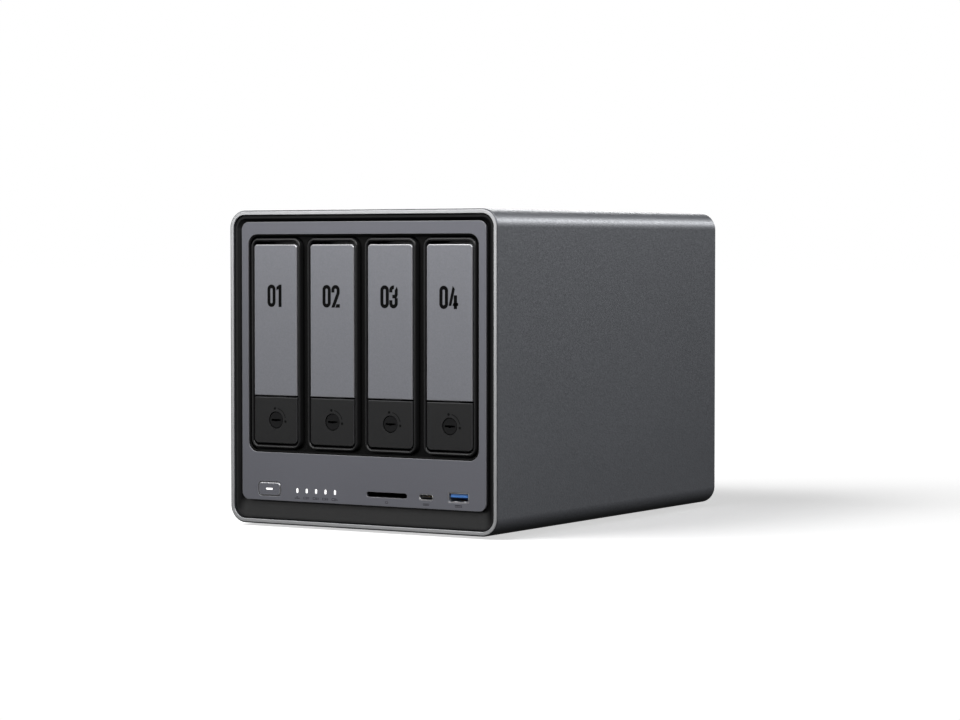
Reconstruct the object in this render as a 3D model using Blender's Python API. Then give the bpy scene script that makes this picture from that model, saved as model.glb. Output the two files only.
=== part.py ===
"""A desktop network storage enclosure with four pull-out drive trays.

Units are metres, +Z is up, the front faces -Y, and the origin is on the ground under the middle of
the outer shell. Left and right are as seen from the front. Each object is one real piece.
"""

import math

import bmesh
import bpy
from mathutils import Matrix, Vector

# Overall envelope
WIDTH = 0.178
DEPTH = 0.257
HEIGHT = 0.1786
FOOT_HEIGHT = 0.0012
GAP = 0.0003  # between pieces that touch
REACH = 0.002  # how far a cutter runs past the face it opens
JOIN = 0.0004  # how deep two shapes of one piece run into each other

# Outer shell, a wrapped sheet open at the front and the back
WALL = 0.0026
SHELL_CORNER = 0.010
SHELL_BOTTOM = FOOT_HEIGHT + GAP
FRONT = -DEPTH / 2
BACK = DEPTH / 2
INNER_SIDE = WIDTH / 2 - WALL
INNER_BOTTOM = SHELL_BOTTOM + WALL
INNER_TOP = HEIGHT - WALL
INNER_CORNER = SHELL_CORNER - WALL

# Front bezel and the grey front panel inside it
BEZEL_FRONT = FRONT + 0.0010
BEZEL_DEPTH = 0.0135
PANEL_FRONT = FRONT + 0.0008
PANEL_THICKNESS = 0.0025
PANEL_SIDE = 0.08125
PANEL_BOTTOM = 0.0149
PANEL_TOP = 0.1721
PANEL_CORNER = 0.0045
WINDOW_SIDE = 0.0767
WINDOW_BOTTOM = 0.0421
WINDOW_TOP = 0.1651
WINDOW_CORNER = 0.006

# Drive trays: a rounded front box, with a channel behind it for one upright 3.5 inch drive
BAY_COUNT = 4
BAY_PITCH = 0.0386
TRAY_FRONT = FRONT + 0.0007
TRAY_SIDE = 0.017
TRAY_BOTTOM = 0.0444
TRAY_TOP = 0.1630
TRAY_CORNER = 0.005
TRAY_RIM = 0.0020
TRAY_END_RIM = 0.0016
BULKHEAD_FRONT = FRONT + 0.0125
BULKHEAD_BACK = FRONT + 0.0150
TRAY_BACK = 0.036
CHANNEL_SIDE = 0.0167
CHANNEL_INSET = 0.0021
CHANNEL_CORNER = 0.004
SIDE_PLATE = 0.0017
DRIVE_SLOT_BOTTOM = 0.0526
DRIVE_SLOT_TOP = 0.1548

# Tray handle: a plate that swings out from a hinge near its top edge
HANDLE_SIDE = 0.01465
HANDLE_FRONT = FRONT + 0.0008
HANDLE_THICKNESS = 0.0026
HANDLE_BOTTOM = 0.0742
HANDLE_TOP = 0.1594
HANDLE_CORNER = 0.0020
HINGE_Y = FRONT + 0.0043
HINGE_Z = 0.1556
HINGE_RADIUS = 0.0013
HINGE_REACH = 0.0160
HINGE_BOSS = 0.0016

# Tray latch: a sprung press plate below the handle, which carries the key lock
LATCH_SIDE = 0.0147
LATCH_FRONT = FRONT + 0.0010
LATCH_THICKNESS = 0.0033
LATCH_BOTTOM = 0.0481
LATCH_TOP = 0.0734
LATCH_CORNER = 0.0020
LATCH_LIP_SIDE = 0.005
LATCH_LIP_TOP = 0.0752
LATCH_LIP_THICKNESS = 0.0014
LOCK_BORE_REACH = 0.0066
STEM_SIDE = 0.004
STEM_BOTTOM = 0.0510
STEM_TOP = 0.0550
STEM_END = FRONT + 0.0149
LOCK_Z = 0.0604
LOCK_RADIUS = 0.0045
LOCK_FRONT = FRONT + 0.0012
LOCK_LENGTH = 0.0088
KEYWAY_SIDE = 0.003
KEYWAY_HALF_HEIGHT = 0.00045
KEYWAY_DEPTH = 0.003

# Drive cage behind the front panel
CAGE_SIDE = 0.0776
CAGE_BOTTOM = 0.0444
CAGE_TOP = 0.1630
CAGE_SHEET = 0.0018
DIVIDER_HALF = 0.0013
CAGE_FRONT = BULKHEAD_BACK + 2 * GAP
CAGE_BACK = 0.042
FRAME_DEPTH = 0.0059
FRAME_BOTTOM = 0.0410
FRAME_TOP = 0.1662

# Backplane with one connector for each drive
BOARD_THICKNESS = 0.0016
CONNECTOR_Z = 0.082
CONNECTOR_HALF = (0.003, 0.022)
CONNECTOR_FRONT = 0.0365
CONNECTOR_TONGUE_HALF = (0.0009, 0.0195)
CONNECTOR_TONGUE_LENGTH = 0.0028
AIR_SLOT_SIDE = 0.006
AIR_SLOT_BOTTOM = 0.062
AIR_SLOT_TOP = 0.146

# Front controls and sockets, on a small board behind the panel
CONTROL_Z = 0.0212
IO_BOARD_TOP = 0.0178
BUTTON_X = -0.0623
BUTTON_Z = 0.0214
BUTTON_HALF = (0.0075, 0.00375)
BUTTON_CORNER = 0.002
BUTTON_PROUD = 0.0002
BUTTON_LENGTH = 0.0064
LIGHT_COUNT = 5
LIGHT_PITCH = 0.0064
LIGHT_MIDDLE_X = -0.0304
LIGHT_HALF = (0.00065, 0.00125)
LIGHT_CORNER = 0.0005
LIGHT_GUIDE_LENGTH = 0.0044
RUNNER_OVERHANG = 0.0017
RUNNER_HALF_HEIGHT = 0.0018
RUNNER_DEPTH = 0.0024
CARD_X = 0.0170
CARD_HALF = (0.01335, 0.00125)
CARD_CORNER = 0.0012
READER_SIDE = 0.015
READER_TOP = 0.0242
READER_DEPTH = 0.028
CARD_SLOT_HALF = (0.0126, 0.0011)
CARD_SLOT_DEPTH = 0.025
USB_C_X = 0.0428
USB_C_HALF = (0.00445, 0.0016)
USB_C_CORNER = 0.0015
USB_C_DEPTH = 0.0125
USB_C_TONGUE_HALF = (0.0033, 0.00035)
USB_A_X = 0.0637
USB_A_Z = 0.0218
USB_A_HALF = (0.00655, 0.0027)
USB_A_CORNER = 0.0005
USB_A_DEPTH = 0.0175
USB_A_TONGUE_HALF = (0.0054, 0.0009)
USB_A_TONGUE_RISE = 0.0010
PORT_SETBACK = 0.0001
PORT_WALL = 0.0004
PORT_BACK_WALL = 0.003
PORT_BASE_SHARE = 0.55  # how far back along a socket its base starts
TONGUE_SETBACK = 0.001
IO_BOARD_LEFT = -0.072
IO_BOARD_RIGHT = 0.074
IO_BOARD_FRONT = FRONT + 0.0095
IO_BOARD_BACK = FRONT + 0.036

# Rear panel, fan and filter
REAR_FRONT = BACK - 0.0059
REAR_THICKNESS = 0.0020
FAN_SIZE = 0.140
FAN_CORNER = 0.004
FAN_DEPTH = 0.025
FAN_Z = 0.1035
FAN_BORE = 0.0665
FAN_HUB = 0.021
FAN_BLADES = 9
HUB_SETBACK = 0.002
BLADE_ROOT = 0.0015
BLADE_TIP_GAP = 0.0035
BLADE_THICKNESS = 0.0016
BLADE_CHORD = 0.022
BLADE_PITCH = math.radians(50)
MOTOR_PLATE_RADIUS = 0.022
MOTOR_PLATE_DEPTH = 0.0035
STRUT_HALF = 0.0025
STRUT_INSETS = (0.0005, 0.0007)
GRILLE_RADIUS = 0.064
FILTER_SIDE = 0.068
FILTER_CORNER = 0.008
FILTER_DEPTH = 0.0025
FILTER_SLOTS = 8
FILTER_SLOT_HALF = (0.058, 0.0052)
FILTER_SLOT_CORNER = 0.002
FILTER_SLOT_PITCH = 0.0145

# Mainboard in the space under the cage
MAIN_SIDE = 0.080
MAIN_FRONT = -0.082
MAIN_BACK = 0.121
MAIN_BOTTOM = 0.0095
MAIN_TOP = MAIN_BOTTOM + BOARD_THICKNESS
MAIN_CORNER = 0.002
SCREW_HOLE_X = 0.076
SCREW_HOLE_Y = (-0.078, 0.100)
SCREW_HOLE_RADIUS = 0.0016
SINK_SIDE = 0.030
SINK_FRONT = -0.022
SINK_BACK = 0.038
SINK_TOP = 0.030
SINK_BASE_TOP = 0.0155
FIN_GAPS = 10
FIN_GAP_PITCH = 0.0057
FIN_GAP_HALF = 0.0020

# Rear sockets on the mainboard. Sizes are width and height
SOCKET_BOTTOM = MAIN_TOP + GAP
SOCKET_BACK = BACK - 0.0030
INLET_X = -0.064
INLET_SIZE = (0.0112, 0.0112)
INLET_DEPTH = 0.014
INLET_BORE = 0.0039
INLET_BORE_DEPTH = 0.011
INLET_PIN = 0.0012
INLET_PIN_SETBACK = 0.0015
RESET_X = -0.050
RESET_Z = 0.0175
RESET_RADIUS = 0.0012
RESET_LENGTH = 0.0068
RESET_SETBACK = 0.0012
VIDEO_X = -0.034
VIDEO_SIZE = (0.0152, 0.0062)
VIDEO_DEPTH = 0.012
VIDEO_CAVITY_HALF = (0.0070, 0.0023)
VIDEO_CAVITY_DEPTH = 0.009
VIDEO_TONGUE_HALF = (0.0052, 0.0006)
VIDEO_TONGUE_RISE = 0.0003
REAR_USB_X = -0.006
REAR_USB_SIZE = (0.0146, 0.0156)
REAR_USB_DEPTH = 0.018
REAR_USB_OFFSET = 0.0038
REAR_USB_CAVITY_HALF = (0.00625, 0.0026)
REAR_USB_CAVITY_DEPTH = 0.013
LAN_X = (0.030, 0.052)
LAN_SIZE = (0.0160, 0.0135)
LAN_DEPTH = 0.0215
LAN_CAVITY_HALF = (0.0059, 0.0041)
LAN_CAVITY_DEPTH = 0.0125
LOCK_SLOT_X = 0.074
LOCK_SLOT_Z = 0.019
LOCK_SLOT_HALF = (0.0035, 0.0015)
LOCK_SLOT_CORNER = 0.0014

# Cards that hang under the mainboard, with chips on their undersides
CARD_THICKNESS = 0.0012
CARD_DROP = 0.0024
CHIP_DROP = 0.0036
CHIP_RISE = 0.0020
HOLDER_DROP = 0.0040
MEMORY_LOW = (-0.034, 0.015)
MEMORY_HIGH = (0.034, 0.045)
MEMORY_CHIP_X = (-0.024, -0.008, 0.008, 0.024)
MEMORY_CHIP_Y = 0.026
MEMORY_CHIP_HALF = (0.0055, 0.006)
MEMORY_HOLDER_LOW = (-0.035, 0.041)
MEMORY_HOLDER_HIGH = (0.035, 0.0475)
DRIVE_LOW = (-0.040, -0.031)
DRIVE_HIGH = (0.040, -0.009)
DRIVE_CHIP_X = (-0.020, 0.0, 0.020)
DRIVE_CHIP_Y = -0.020
DRIVE_CHIP_HALF = (0.007, 0.007)
DRIVE_HOLDER_LOW = (-0.0405, -0.0315)
DRIVE_HOLDER_HIGH = (-0.0345, -0.0085)

# Bottom hatch under the memory and the boot drive
HATCH_SIDE = 0.045
HATCH_FRONT = -0.040
HATCH_BACK = 0.060
HATCH_CORNER = 0.003

FOOT_RADIUS = 0.009
FOOT_X = 0.056
FOOT_Y = 0.100

CORNER_STEPS = 4
AXES = {"X": 0, "Y": 1, "Z": 2}
AXIS_TURNS = {"X": (math.pi / 2, "Y"), "Y": (math.pi / 2, "X"), "Z": (0.0, "Z")}

# Colour, roughness and metallic value of each finish
FINISHES = {
    "anodised_shell": ((0.085, 0.088, 0.093), 0.45, 0.9),
    "bezel_plastic": ((0.020, 0.020, 0.021), 0.45, 0.0),
    "panel_grey": ((0.22, 0.22, 0.23), 0.45, 0.3),
    "tray_plastic": ((0.012, 0.012, 0.012), 0.40, 0.0),
    "latch_plastic": ((0.025, 0.025, 0.027), 0.45, 0.0),
    "lock_metal": ((0.10, 0.10, 0.10), 0.35, 1.0),
    "cage_steel": ((0.50, 0.51, 0.52), 0.35, 1.0),
    "circuit_board": ((0.010, 0.040, 0.025), 0.50, 0.0),
    "connector_plastic": ((0.015, 0.015, 0.015), 0.50, 0.0),
    "socket_steel": ((0.55, 0.55, 0.56), 0.30, 1.0),
    "heatsink": ((0.60, 0.60, 0.62), 0.35, 1.0),
    "fan_plastic": ((0.015, 0.015, 0.016), 0.45, 0.0),
    "filter_mesh": ((0.020, 0.020, 0.020), 0.60, 0.0),
    "light_pipe": ((0.85, 0.85, 0.82), 0.25, 0.0),
    "rubber": ((0.012, 0.012, 0.012), 0.85, 0.0),
}


def clear_scene():
    for obj in list(bpy.data.objects):
        bpy.data.objects.remove(obj, do_unlink=True)


def new_collection(name):
    collection = bpy.data.collections.new(name)
    bpy.context.scene.collection.children.link(collection)
    return collection


def new_material(name):
    color, roughness, metallic = FINISHES[name]
    material = bpy.data.materials.new(name)
    material.use_nodes = True
    shader = material.node_tree.nodes["Principled BSDF"]
    shader.inputs["Base Color"].default_value = (*color, 1.0)
    shader.inputs["Roughness"].default_value = roughness
    shader.inputs["Metallic"].default_value = metallic
    return material


def box(low, high, radius=0.0, along="Y", steps=CORNER_STEPS):
    """A block between two corners, with the four edges along one axis rounded."""

    def add(bm):
        low_corner = Vector(low)
        high_corner = Vector(high)
        middle = Matrix.Translation((low_corner + high_corner) / 2)
        size = Matrix.Diagonal((*(high_corner - low_corner), 1.0))
        verts = bmesh.ops.create_cube(bm, size=1.0, matrix=middle @ size)["verts"]
        if radius == 0.0:
            return
        axis = AXES[along]
        edges = {edge for vert in verts for edge in vert.link_edges}
        rounded = [e for e in edges if abs(e.verts[0].co[axis] - e.verts[1].co[axis]) > 1e-6]
        rounded.sort(key=lambda e: tuple(e.verts[0].co + e.verts[1].co))
        bmesh.ops.bevel(bm, geom=rounded, offset=radius, segments=steps, profile=0.5, affect="EDGES")

    return add


def plate(x, z, half, y_low, y_high, radius=0.0, steps=CORNER_STEPS):
    """A block that faces the front, from its middle and half sizes in X and Z."""
    low = (x - half[0], y_low, z - half[1])
    high = (x + half[0], y_high, z + half[1])
    return box(low, high, radius, "Y", steps)


def rod(middle, radius, length, along="Y", sides=24):
    """A cylinder centred on a point, with its length along one axis."""

    def add(bm):
        angle, about = AXIS_TURNS[along]
        matrix = Matrix.Translation(middle) @ Matrix.Rotation(angle, 4, about)
        bmesh.ops.create_cone(
            bm, cap_ends=True, segments=sides, radius1=radius, radius2=radius, depth=length, matrix=matrix
        )

    return add


def mesh_of(name, shapes, origin):
    bm = bmesh.new()
    for add in shapes:
        add(bm)
    bmesh.ops.translate(bm, verts=bm.verts, vec=-origin)
    mesh = bpy.data.meshes.new(name)
    bm.to_mesh(mesh)
    bm.free()
    mesh.shade_smooth()
    mesh.set_sharp_from_angle(angle=math.radians(35))
    return mesh


def world_place(obj):
    """Where an unrotated object's origin is, with the offsets of its parents."""
    place = Vector()
    while obj:
        place += obj.location
        obj = obj.parent
    return place


def part(name, finish, shapes, steps=(), origin=(0.0, 0.0, 0.0), parent=None):
    """One piece: its first shapes, then each ("UNION" or "DIFFERENCE", shapes) step in turn."""
    origin = Vector(origin)
    obj = bpy.data.objects.new(name, mesh_of(name, shapes, origin))
    obj.data.materials.append(MATERIALS[finish])
    obj.parent = parent
    obj.location = origin - world_place(parent)
    PARTS.objects.link(obj)
    for number, (operation, tool_shapes) in enumerate(steps, start=1):
        tool_name = f"{name}_{operation.lower()}_{number}"
        tool = bpy.data.objects.new(tool_name, mesh_of(tool_name, tool_shapes, origin))
        tool.parent = obj
        tool.hide_render = True
        tool.display_type = "WIRE"
        CUTTERS.objects.link(tool)
        boolean = obj.modifiers.new(tool_name, "BOOLEAN")
        boolean.operation = operation
        boolean.object = tool
    return obj


def bay_x(number):
    """The middle of a bay, which are numbered from 1 at the left."""
    return (number - (BAY_COUNT + 1) / 2) * BAY_PITCH


def light_x(number):
    return LIGHT_MIDDLE_X + (number - (LIGHT_COUNT - 1) / 2) * LIGHT_PITCH


def wider(half, by=GAP):
    return (half[0] + by, half[1] + by)


def make_outer_shell():
    outside = box((-WIDTH / 2, FRONT, SHELL_BOTTOM), (WIDTH / 2, BACK, HEIGHT), SHELL_CORNER, steps=8)
    low = (-INNER_SIDE, FRONT - REACH, INNER_BOTTOM)
    high = (INNER_SIDE, BACK + REACH, INNER_TOP)
    hatch = box(
        (-HATCH_SIDE - GAP, HATCH_FRONT - GAP, SHELL_BOTTOM - REACH),
        (HATCH_SIDE + GAP, HATCH_BACK + GAP, INNER_BOTTOM + REACH),
        HATCH_CORNER + GAP,
        "Z",
    )
    cuts = (("DIFFERENCE", [box(low, high, INNER_CORNER, steps=8)]), ("DIFFERENCE", [hatch]))
    part("outer_shell", "anodised_shell", [outside], cuts)
    low = (-HATCH_SIDE, HATCH_FRONT, SHELL_BOTTOM)
    high = (HATCH_SIDE, HATCH_BACK, INNER_BOTTOM - GAP)
    part("bottom_cover", "anodised_shell", [box(low, high, HATCH_CORNER, "Z")])


def make_feet():
    for end, y in (("front", -FOOT_Y), ("rear", FOOT_Y)):
        for side, x in (("left", -FOOT_X), ("right", FOOT_X)):
            disc = rod((x, y, FOOT_HEIGHT / 2), FOOT_RADIUS, FOOT_HEIGHT, "Z", 28)
            part(f"foot_{end}_{side}", "rubber", [disc])


def make_front_bezel():
    side = INNER_SIDE - GAP
    back = BEZEL_FRONT + BEZEL_DEPTH
    low = (-side, BEZEL_FRONT, INNER_BOTTOM + GAP)
    high = (side, back, INNER_TOP - GAP)
    ring = box(low, high, INNER_CORNER - GAP, steps=6)
    low = (-PANEL_SIDE - GAP, BEZEL_FRONT - REACH, PANEL_BOTTOM - GAP)
    high = (PANEL_SIDE + GAP, back + REACH, PANEL_TOP + GAP)
    part("front_bezel", "bezel_plastic", [ring], [("DIFFERENCE", [box(low, high, PANEL_CORNER + GAP)])])


def make_front_panel():
    back = PANEL_FRONT + PANEL_THICKNESS
    sheet = box((-PANEL_SIDE, PANEL_FRONT, PANEL_BOTTOM), (PANEL_SIDE, back, PANEL_TOP), PANEL_CORNER)
    reach = (PANEL_FRONT - REACH, back + REACH)
    low = (-WINDOW_SIDE, reach[0], WINDOW_BOTTOM)
    high = (WINDOW_SIDE, reach[1], WINDOW_TOP)
    holes = [
        box(low, high, WINDOW_CORNER),
        plate(BUTTON_X, BUTTON_Z, wider(BUTTON_HALF), *reach, BUTTON_CORNER + GAP),
        plate(CARD_X, CONTROL_Z, CARD_HALF, *reach, CARD_CORNER),
        plate(USB_C_X, CONTROL_Z, wider(USB_C_HALF), *reach, USB_C_HALF[1]),
        plate(USB_A_X, USB_A_Z, wider(USB_A_HALF), *reach, USB_A_CORNER, 2),
    ]
    for number in range(LIGHT_COUNT):
        holes.append(plate(light_x(number), CONTROL_Z, wider(LIGHT_HALF), *reach, LIGHT_HALF[0], 3))
    part("front_panel", "panel_grey", [sheet], [("DIFFERENCE", holes)])


def make_bay_frame():
    front = PANEL_FRONT + PANEL_THICKNESS + GAP
    back = front + FRAME_DEPTH
    sheet = box((-CAGE_SIDE, front, FRAME_BOTTOM), (CAGE_SIDE, back, FRAME_TOP), TRAY_CORNER)
    holes = []
    for number in range(1, BAY_COUNT + 1):
        low = (bay_x(number) - TRAY_SIDE - GAP, front - REACH, TRAY_BOTTOM - GAP)
        high = (bay_x(number) + TRAY_SIDE + GAP, back + REACH, TRAY_TOP + GAP)
        holes.append(box(low, high, TRAY_CORNER + GAP))
    part("bay_frame", "bezel_plastic", [sheet], [("DIFFERENCE", holes)])


def make_cage():
    front = CAGE_FRONT
    floor = CAGE_BOTTOM + CAGE_SHEET
    roof = CAGE_TOP - CAGE_SHEET
    for name, bottom, top in (("cage_bottom", CAGE_BOTTOM, floor), ("cage_top", roof, CAGE_TOP)):
        part(name, "cage_steel", [box((-CAGE_SIDE, front, bottom), (CAGE_SIDE, CAGE_BACK, top))])
    walls = {"cage_wall_left": -CAGE_SIDE + CAGE_SHEET / 2, "cage_wall_right": CAGE_SIDE - CAGE_SHEET / 2}
    for name, x in walls.items():
        low = (x - CAGE_SHEET / 2, front, floor + GAP)
        high = (x + CAGE_SHEET / 2, CAGE_BACK, roof - GAP)
        part(name, "cage_steel", [box(low, high)])
    for number in range(1, BAY_COUNT):
        x = (bay_x(number) + bay_x(number + 1)) / 2
        low = (x - DIVIDER_HALF, front, floor + GAP)
        high = (x + DIVIDER_HALF, CAGE_BACK, roof - GAP)
        part(f"bay_divider_{number}", "tray_plastic", [box(low, high)])


def make_backplane():
    front = CAGE_BACK + GAP
    back = front + BOARD_THICKNESS
    slots = []
    for number in range(1, BAY_COUNT):
        x = (bay_x(number) + bay_x(number + 1)) / 2
        low = (x - AIR_SLOT_SIDE, front - REACH, AIR_SLOT_BOTTOM)
        high = (x + AIR_SLOT_SIDE, back + REACH, AIR_SLOT_TOP)
        slots.append(box(low, high, AIR_SLOT_SIDE / 2))
    board = box((-CAGE_SIDE, front, CAGE_BOTTOM), (CAGE_SIDE, back, CAGE_TOP))
    part("drive_backplane", "circuit_board", [board], [("DIFFERENCE", slots)])
    for number in range(1, BAY_COUNT + 1):
        x = bay_x(number)
        base_front = CONNECTOR_FRONT + CONNECTOR_TONGUE_LENGTH
        base = plate(x, CONNECTOR_Z, CONNECTOR_HALF, base_front, CAGE_BACK)
        tongue = plate(x, CONNECTOR_Z, CONNECTOR_TONGUE_HALF, CONNECTOR_FRONT, base_front + JOIN)
        part(f"drive_connector_{number}", "connector_plastic", [base], [("UNION", [tongue])])


def make_tray(number):
    """The sliding carrier: front box, bulkhead and a channel that is open on its right side."""
    x = bay_x(number)
    low = (x - TRAY_SIDE, TRAY_FRONT, TRAY_BOTTOM)
    high = (x + TRAY_SIDE, BULKHEAD_BACK, TRAY_TOP)
    front_box = box(low, high, TRAY_CORNER)
    low = (x - CHANNEL_SIDE, BULKHEAD_BACK - JOIN, TRAY_BOTTOM + CHANNEL_INSET)
    high = (x + CHANNEL_SIDE, TRAY_BACK, TRAY_TOP - CHANNEL_INSET)
    channel = box(low, high, CHANNEL_CORNER)
    mouth = box(
        (x - TRAY_SIDE + TRAY_RIM, TRAY_FRONT - REACH, TRAY_BOTTOM + TRAY_END_RIM),
        (x + TRAY_SIDE - TRAY_RIM, BULKHEAD_FRONT, TRAY_TOP - TRAY_END_RIM),
        TRAY_CORNER - TRAY_RIM,
    )
    drive_space = box(
        (x - CHANNEL_SIDE + SIDE_PLATE, BULKHEAD_BACK, DRIVE_SLOT_BOTTOM),
        (x + CHANNEL_SIDE + REACH, TRAY_BACK + REACH, DRIVE_SLOT_TOP),
    )
    stem_hole = box(
        (x - STEM_SIDE - GAP, BULKHEAD_FRONT - REACH, STEM_BOTTOM - GAP),
        (x + STEM_SIDE + GAP, BULKHEAD_BACK + REACH, STEM_TOP + GAP),
    )
    hinge_hole = rod((x, HINGE_Y, HINGE_Z), HINGE_RADIUS + GAP, 2 * (HINGE_REACH + GAP), "X", 12)
    hollows = ("DIFFERENCE", [mouth, drive_space])
    steps = (("UNION", [channel]), hollows, ("DIFFERENCE", [stem_hole, hinge_hole]))
    origin = (x, TRAY_FRONT, TRAY_BOTTOM)
    return part(f"tray_{number}", "tray_plastic", [front_box], steps, origin)


def make_handle(number, tray):
    """The handle plate, with stub shafts that turn in the tray's sides."""
    x = bay_x(number)
    back = HANDLE_FRONT + HANDLE_THICKNESS
    low = (x - HANDLE_SIDE, HANDLE_FRONT, HANDLE_BOTTOM)
    high = (x + HANDLE_SIDE, back, HANDLE_TOP)
    sheet = box(low, high, HANDLE_CORNER)
    boss = box(
        (x - HANDLE_SIDE + GAP, back - JOIN, HINGE_Z - HINGE_BOSS),
        (x + HANDLE_SIDE - GAP, HINGE_Y + HINGE_BOSS, HINGE_Z + HINGE_BOSS),
    )
    shaft = rod((x, HINGE_Y, HINGE_Z), HINGE_RADIUS, 2 * HINGE_REACH, "X", 12)
    steps = (("UNION", [boss]), ("UNION", [shaft]))
    origin = (x, HINGE_Y, HINGE_Z)
    part(f"tray_handle_{number}", "panel_grey", [sheet], steps, origin, tray)


def make_latch(number, tray):
    """The press plate with its guide stem, a lip behind the handle, and the lock's bore."""
    x = bay_x(number)
    back = LATCH_FRONT + LATCH_THICKNESS
    low = (x - LATCH_SIDE, LATCH_FRONT, LATCH_BOTTOM)
    high = (x + LATCH_SIDE, back, LATCH_TOP)
    sheet = box(low, high, LATCH_CORNER)
    stem = box((x - STEM_SIDE, back - JOIN, STEM_BOTTOM), (x + STEM_SIDE, STEM_END, STEM_TOP))
    lip_front = HANDLE_FRONT + HANDLE_THICKNESS + GAP
    lip = box(
        (x - LATCH_LIP_SIDE, lip_front, LATCH_TOP - LATCH_LIP_THICKNESS),
        (x + LATCH_LIP_SIDE, back + LATCH_LIP_THICKNESS, LATCH_LIP_TOP),
    )
    bore = rod((x, LATCH_FRONT, LOCK_Z), LOCK_RADIUS + GAP, 2 * LOCK_BORE_REACH)
    steps = (("UNION", [stem]), ("UNION", [lip]), ("DIFFERENCE", [bore]))
    origin = (x, back, LOCK_Z)
    return part(f"tray_latch_{number}", "latch_plastic", [sheet], steps, origin, tray)


def make_lock(number, latch):
    x = bay_x(number)
    barrel = rod((x, LOCK_FRONT + LOCK_LENGTH / 2, LOCK_Z), LOCK_RADIUS, LOCK_LENGTH)
    half = (KEYWAY_SIDE, KEYWAY_HALF_HEIGHT)
    keyway = plate(x, LOCK_Z, half, LOCK_FRONT - REACH, LOCK_FRONT + KEYWAY_DEPTH)
    origin = (x, LOCK_FRONT, LOCK_Z)
    part(f"tray_lock_{number}", "lock_metal", [barrel], [("DIFFERENCE", [keyway])], origin, latch)


def make_power_button():
    front = PANEL_FRONT - BUTTON_PROUD
    cap = plate(BUTTON_X, BUTTON_Z, BUTTON_HALF, front, front + BUTTON_LENGTH, BUTTON_CORNER)
    part("power_button", "panel_grey", [cap], origin=(BUTTON_X, front, BUTTON_Z))


def make_light_pipe():
    """Five light guides on one runner behind the panel."""
    front = PANEL_FRONT + PORT_SETBACK
    runner_front = front + LIGHT_GUIDE_LENGTH
    half = ((LIGHT_COUNT - 1) / 2 * LIGHT_PITCH + RUNNER_OVERHANG, RUNNER_HALF_HEIGHT)
    runner = plate(LIGHT_MIDDLE_X, CONTROL_Z, half, runner_front, runner_front + RUNNER_DEPTH)
    guides = []
    for number in range(LIGHT_COUNT):
        reach = (front, runner_front + JOIN)
        guides.append(plate(light_x(number), CONTROL_Z, LIGHT_HALF, *reach, LIGHT_CORNER, 3))
    part("light_pipe", "light_pipe", [runner], [("UNION", guides)])


def make_card_reader():
    front = PANEL_FRONT + PANEL_THICKNESS + GAP
    low = (CARD_X - READER_SIDE, front, IO_BOARD_TOP + GAP)
    high = (CARD_X + READER_SIDE, front + READER_DEPTH, READER_TOP)
    slot = plate(CARD_X, CONTROL_Z, CARD_SLOT_HALF, front - REACH, front + CARD_SLOT_DEPTH)
    part("card_reader", "socket_steel", [box(low, high)], [("DIFFERENCE", [slot])])


def front_socket(name, x, z, half, depth, corner, tongue_half, tongue_rise=0.0):
    """A socket that opens to the front: a sleeve, its cavity, the tongue inside it and its base."""
    front = PANEL_FRONT + PORT_SETBACK
    back = front + depth
    sleeve = plate(x, z, half, front, back, corner)
    low = (x - half[0], front + depth * PORT_BASE_SHARE, IO_BOARD_TOP + GAP)
    high = (x + half[0], back, z + half[1] + PORT_WALL)
    inside_corner = max(corner - PORT_WALL, 0.0)
    cavity = plate(x, z, wider(half, -PORT_WALL), front - REACH, back - PORT_BACK_WALL, inside_corner)
    tongue_front = front + TONGUE_SETBACK
    tongue = plate(x, z + tongue_rise, tongue_half, tongue_front, back - PORT_BACK_WALL + JOIN)
    steps = (("UNION", [box(low, high)]), ("DIFFERENCE", [cavity]), ("UNION", [tongue]))
    part(name, "socket_steel", [sleeve], steps)


def make_front_sockets():
    sizes = (USB_C_HALF, USB_C_DEPTH, USB_C_CORNER, USB_C_TONGUE_HALF)
    front_socket("usb_c_port", USB_C_X, CONTROL_Z, *sizes)
    sizes = (USB_A_HALF, USB_A_DEPTH, 0.0, USB_A_TONGUE_HALF, USB_A_TONGUE_RISE)
    front_socket("usb_a_port", USB_A_X, USB_A_Z, *sizes)
    low = (IO_BOARD_LEFT, IO_BOARD_FRONT, IO_BOARD_TOP - BOARD_THICKNESS)
    high = (IO_BOARD_RIGHT, IO_BOARD_BACK, IO_BOARD_TOP)
    part("front_io_board", "circuit_board", [box(low, high)])


def on_mainboard(size):
    """The middle height of a socket of this size that stands on the mainboard."""
    return SOCKET_BOTTOM + size[1] / 2


def half_of(size):
    return (size[0] / 2, size[1] / 2)


def make_rear_panel():
    side = INNER_SIDE - GAP
    back = REAR_FRONT + REAR_THICKNESS
    low = (-side, REAR_FRONT, INNER_BOTTOM + GAP)
    high = (side, back, INNER_TOP - GAP)
    sheet = box(low, high, INNER_CORNER - GAP)
    reach = (REAR_FRONT - REACH, back + REACH)
    middle = (REAR_FRONT + back) / 2
    holes = [
        rod((0.0, middle, FAN_Z), GRILLE_RADIUS, 3 * REACH, "Y", 48),
        rod((RESET_X, middle, RESET_Z), RESET_RADIUS + GAP, 3 * REACH, "Y", 12),
        plate(LOCK_SLOT_X, LOCK_SLOT_Z, LOCK_SLOT_HALF, *reach, LOCK_SLOT_CORNER),
    ]
    sockets = [(INLET_X, INLET_SIZE), (VIDEO_X, VIDEO_SIZE), (REAR_USB_X, REAR_USB_SIZE)]
    sockets += [(x, LAN_SIZE) for x in LAN_X]
    for x, size in sockets:
        holes.append(plate(x, on_mainboard(size), wider(half_of(size)), *reach))
    part("rear_panel", "anodised_shell", [sheet], [("DIFFERENCE", holes)])


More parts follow.
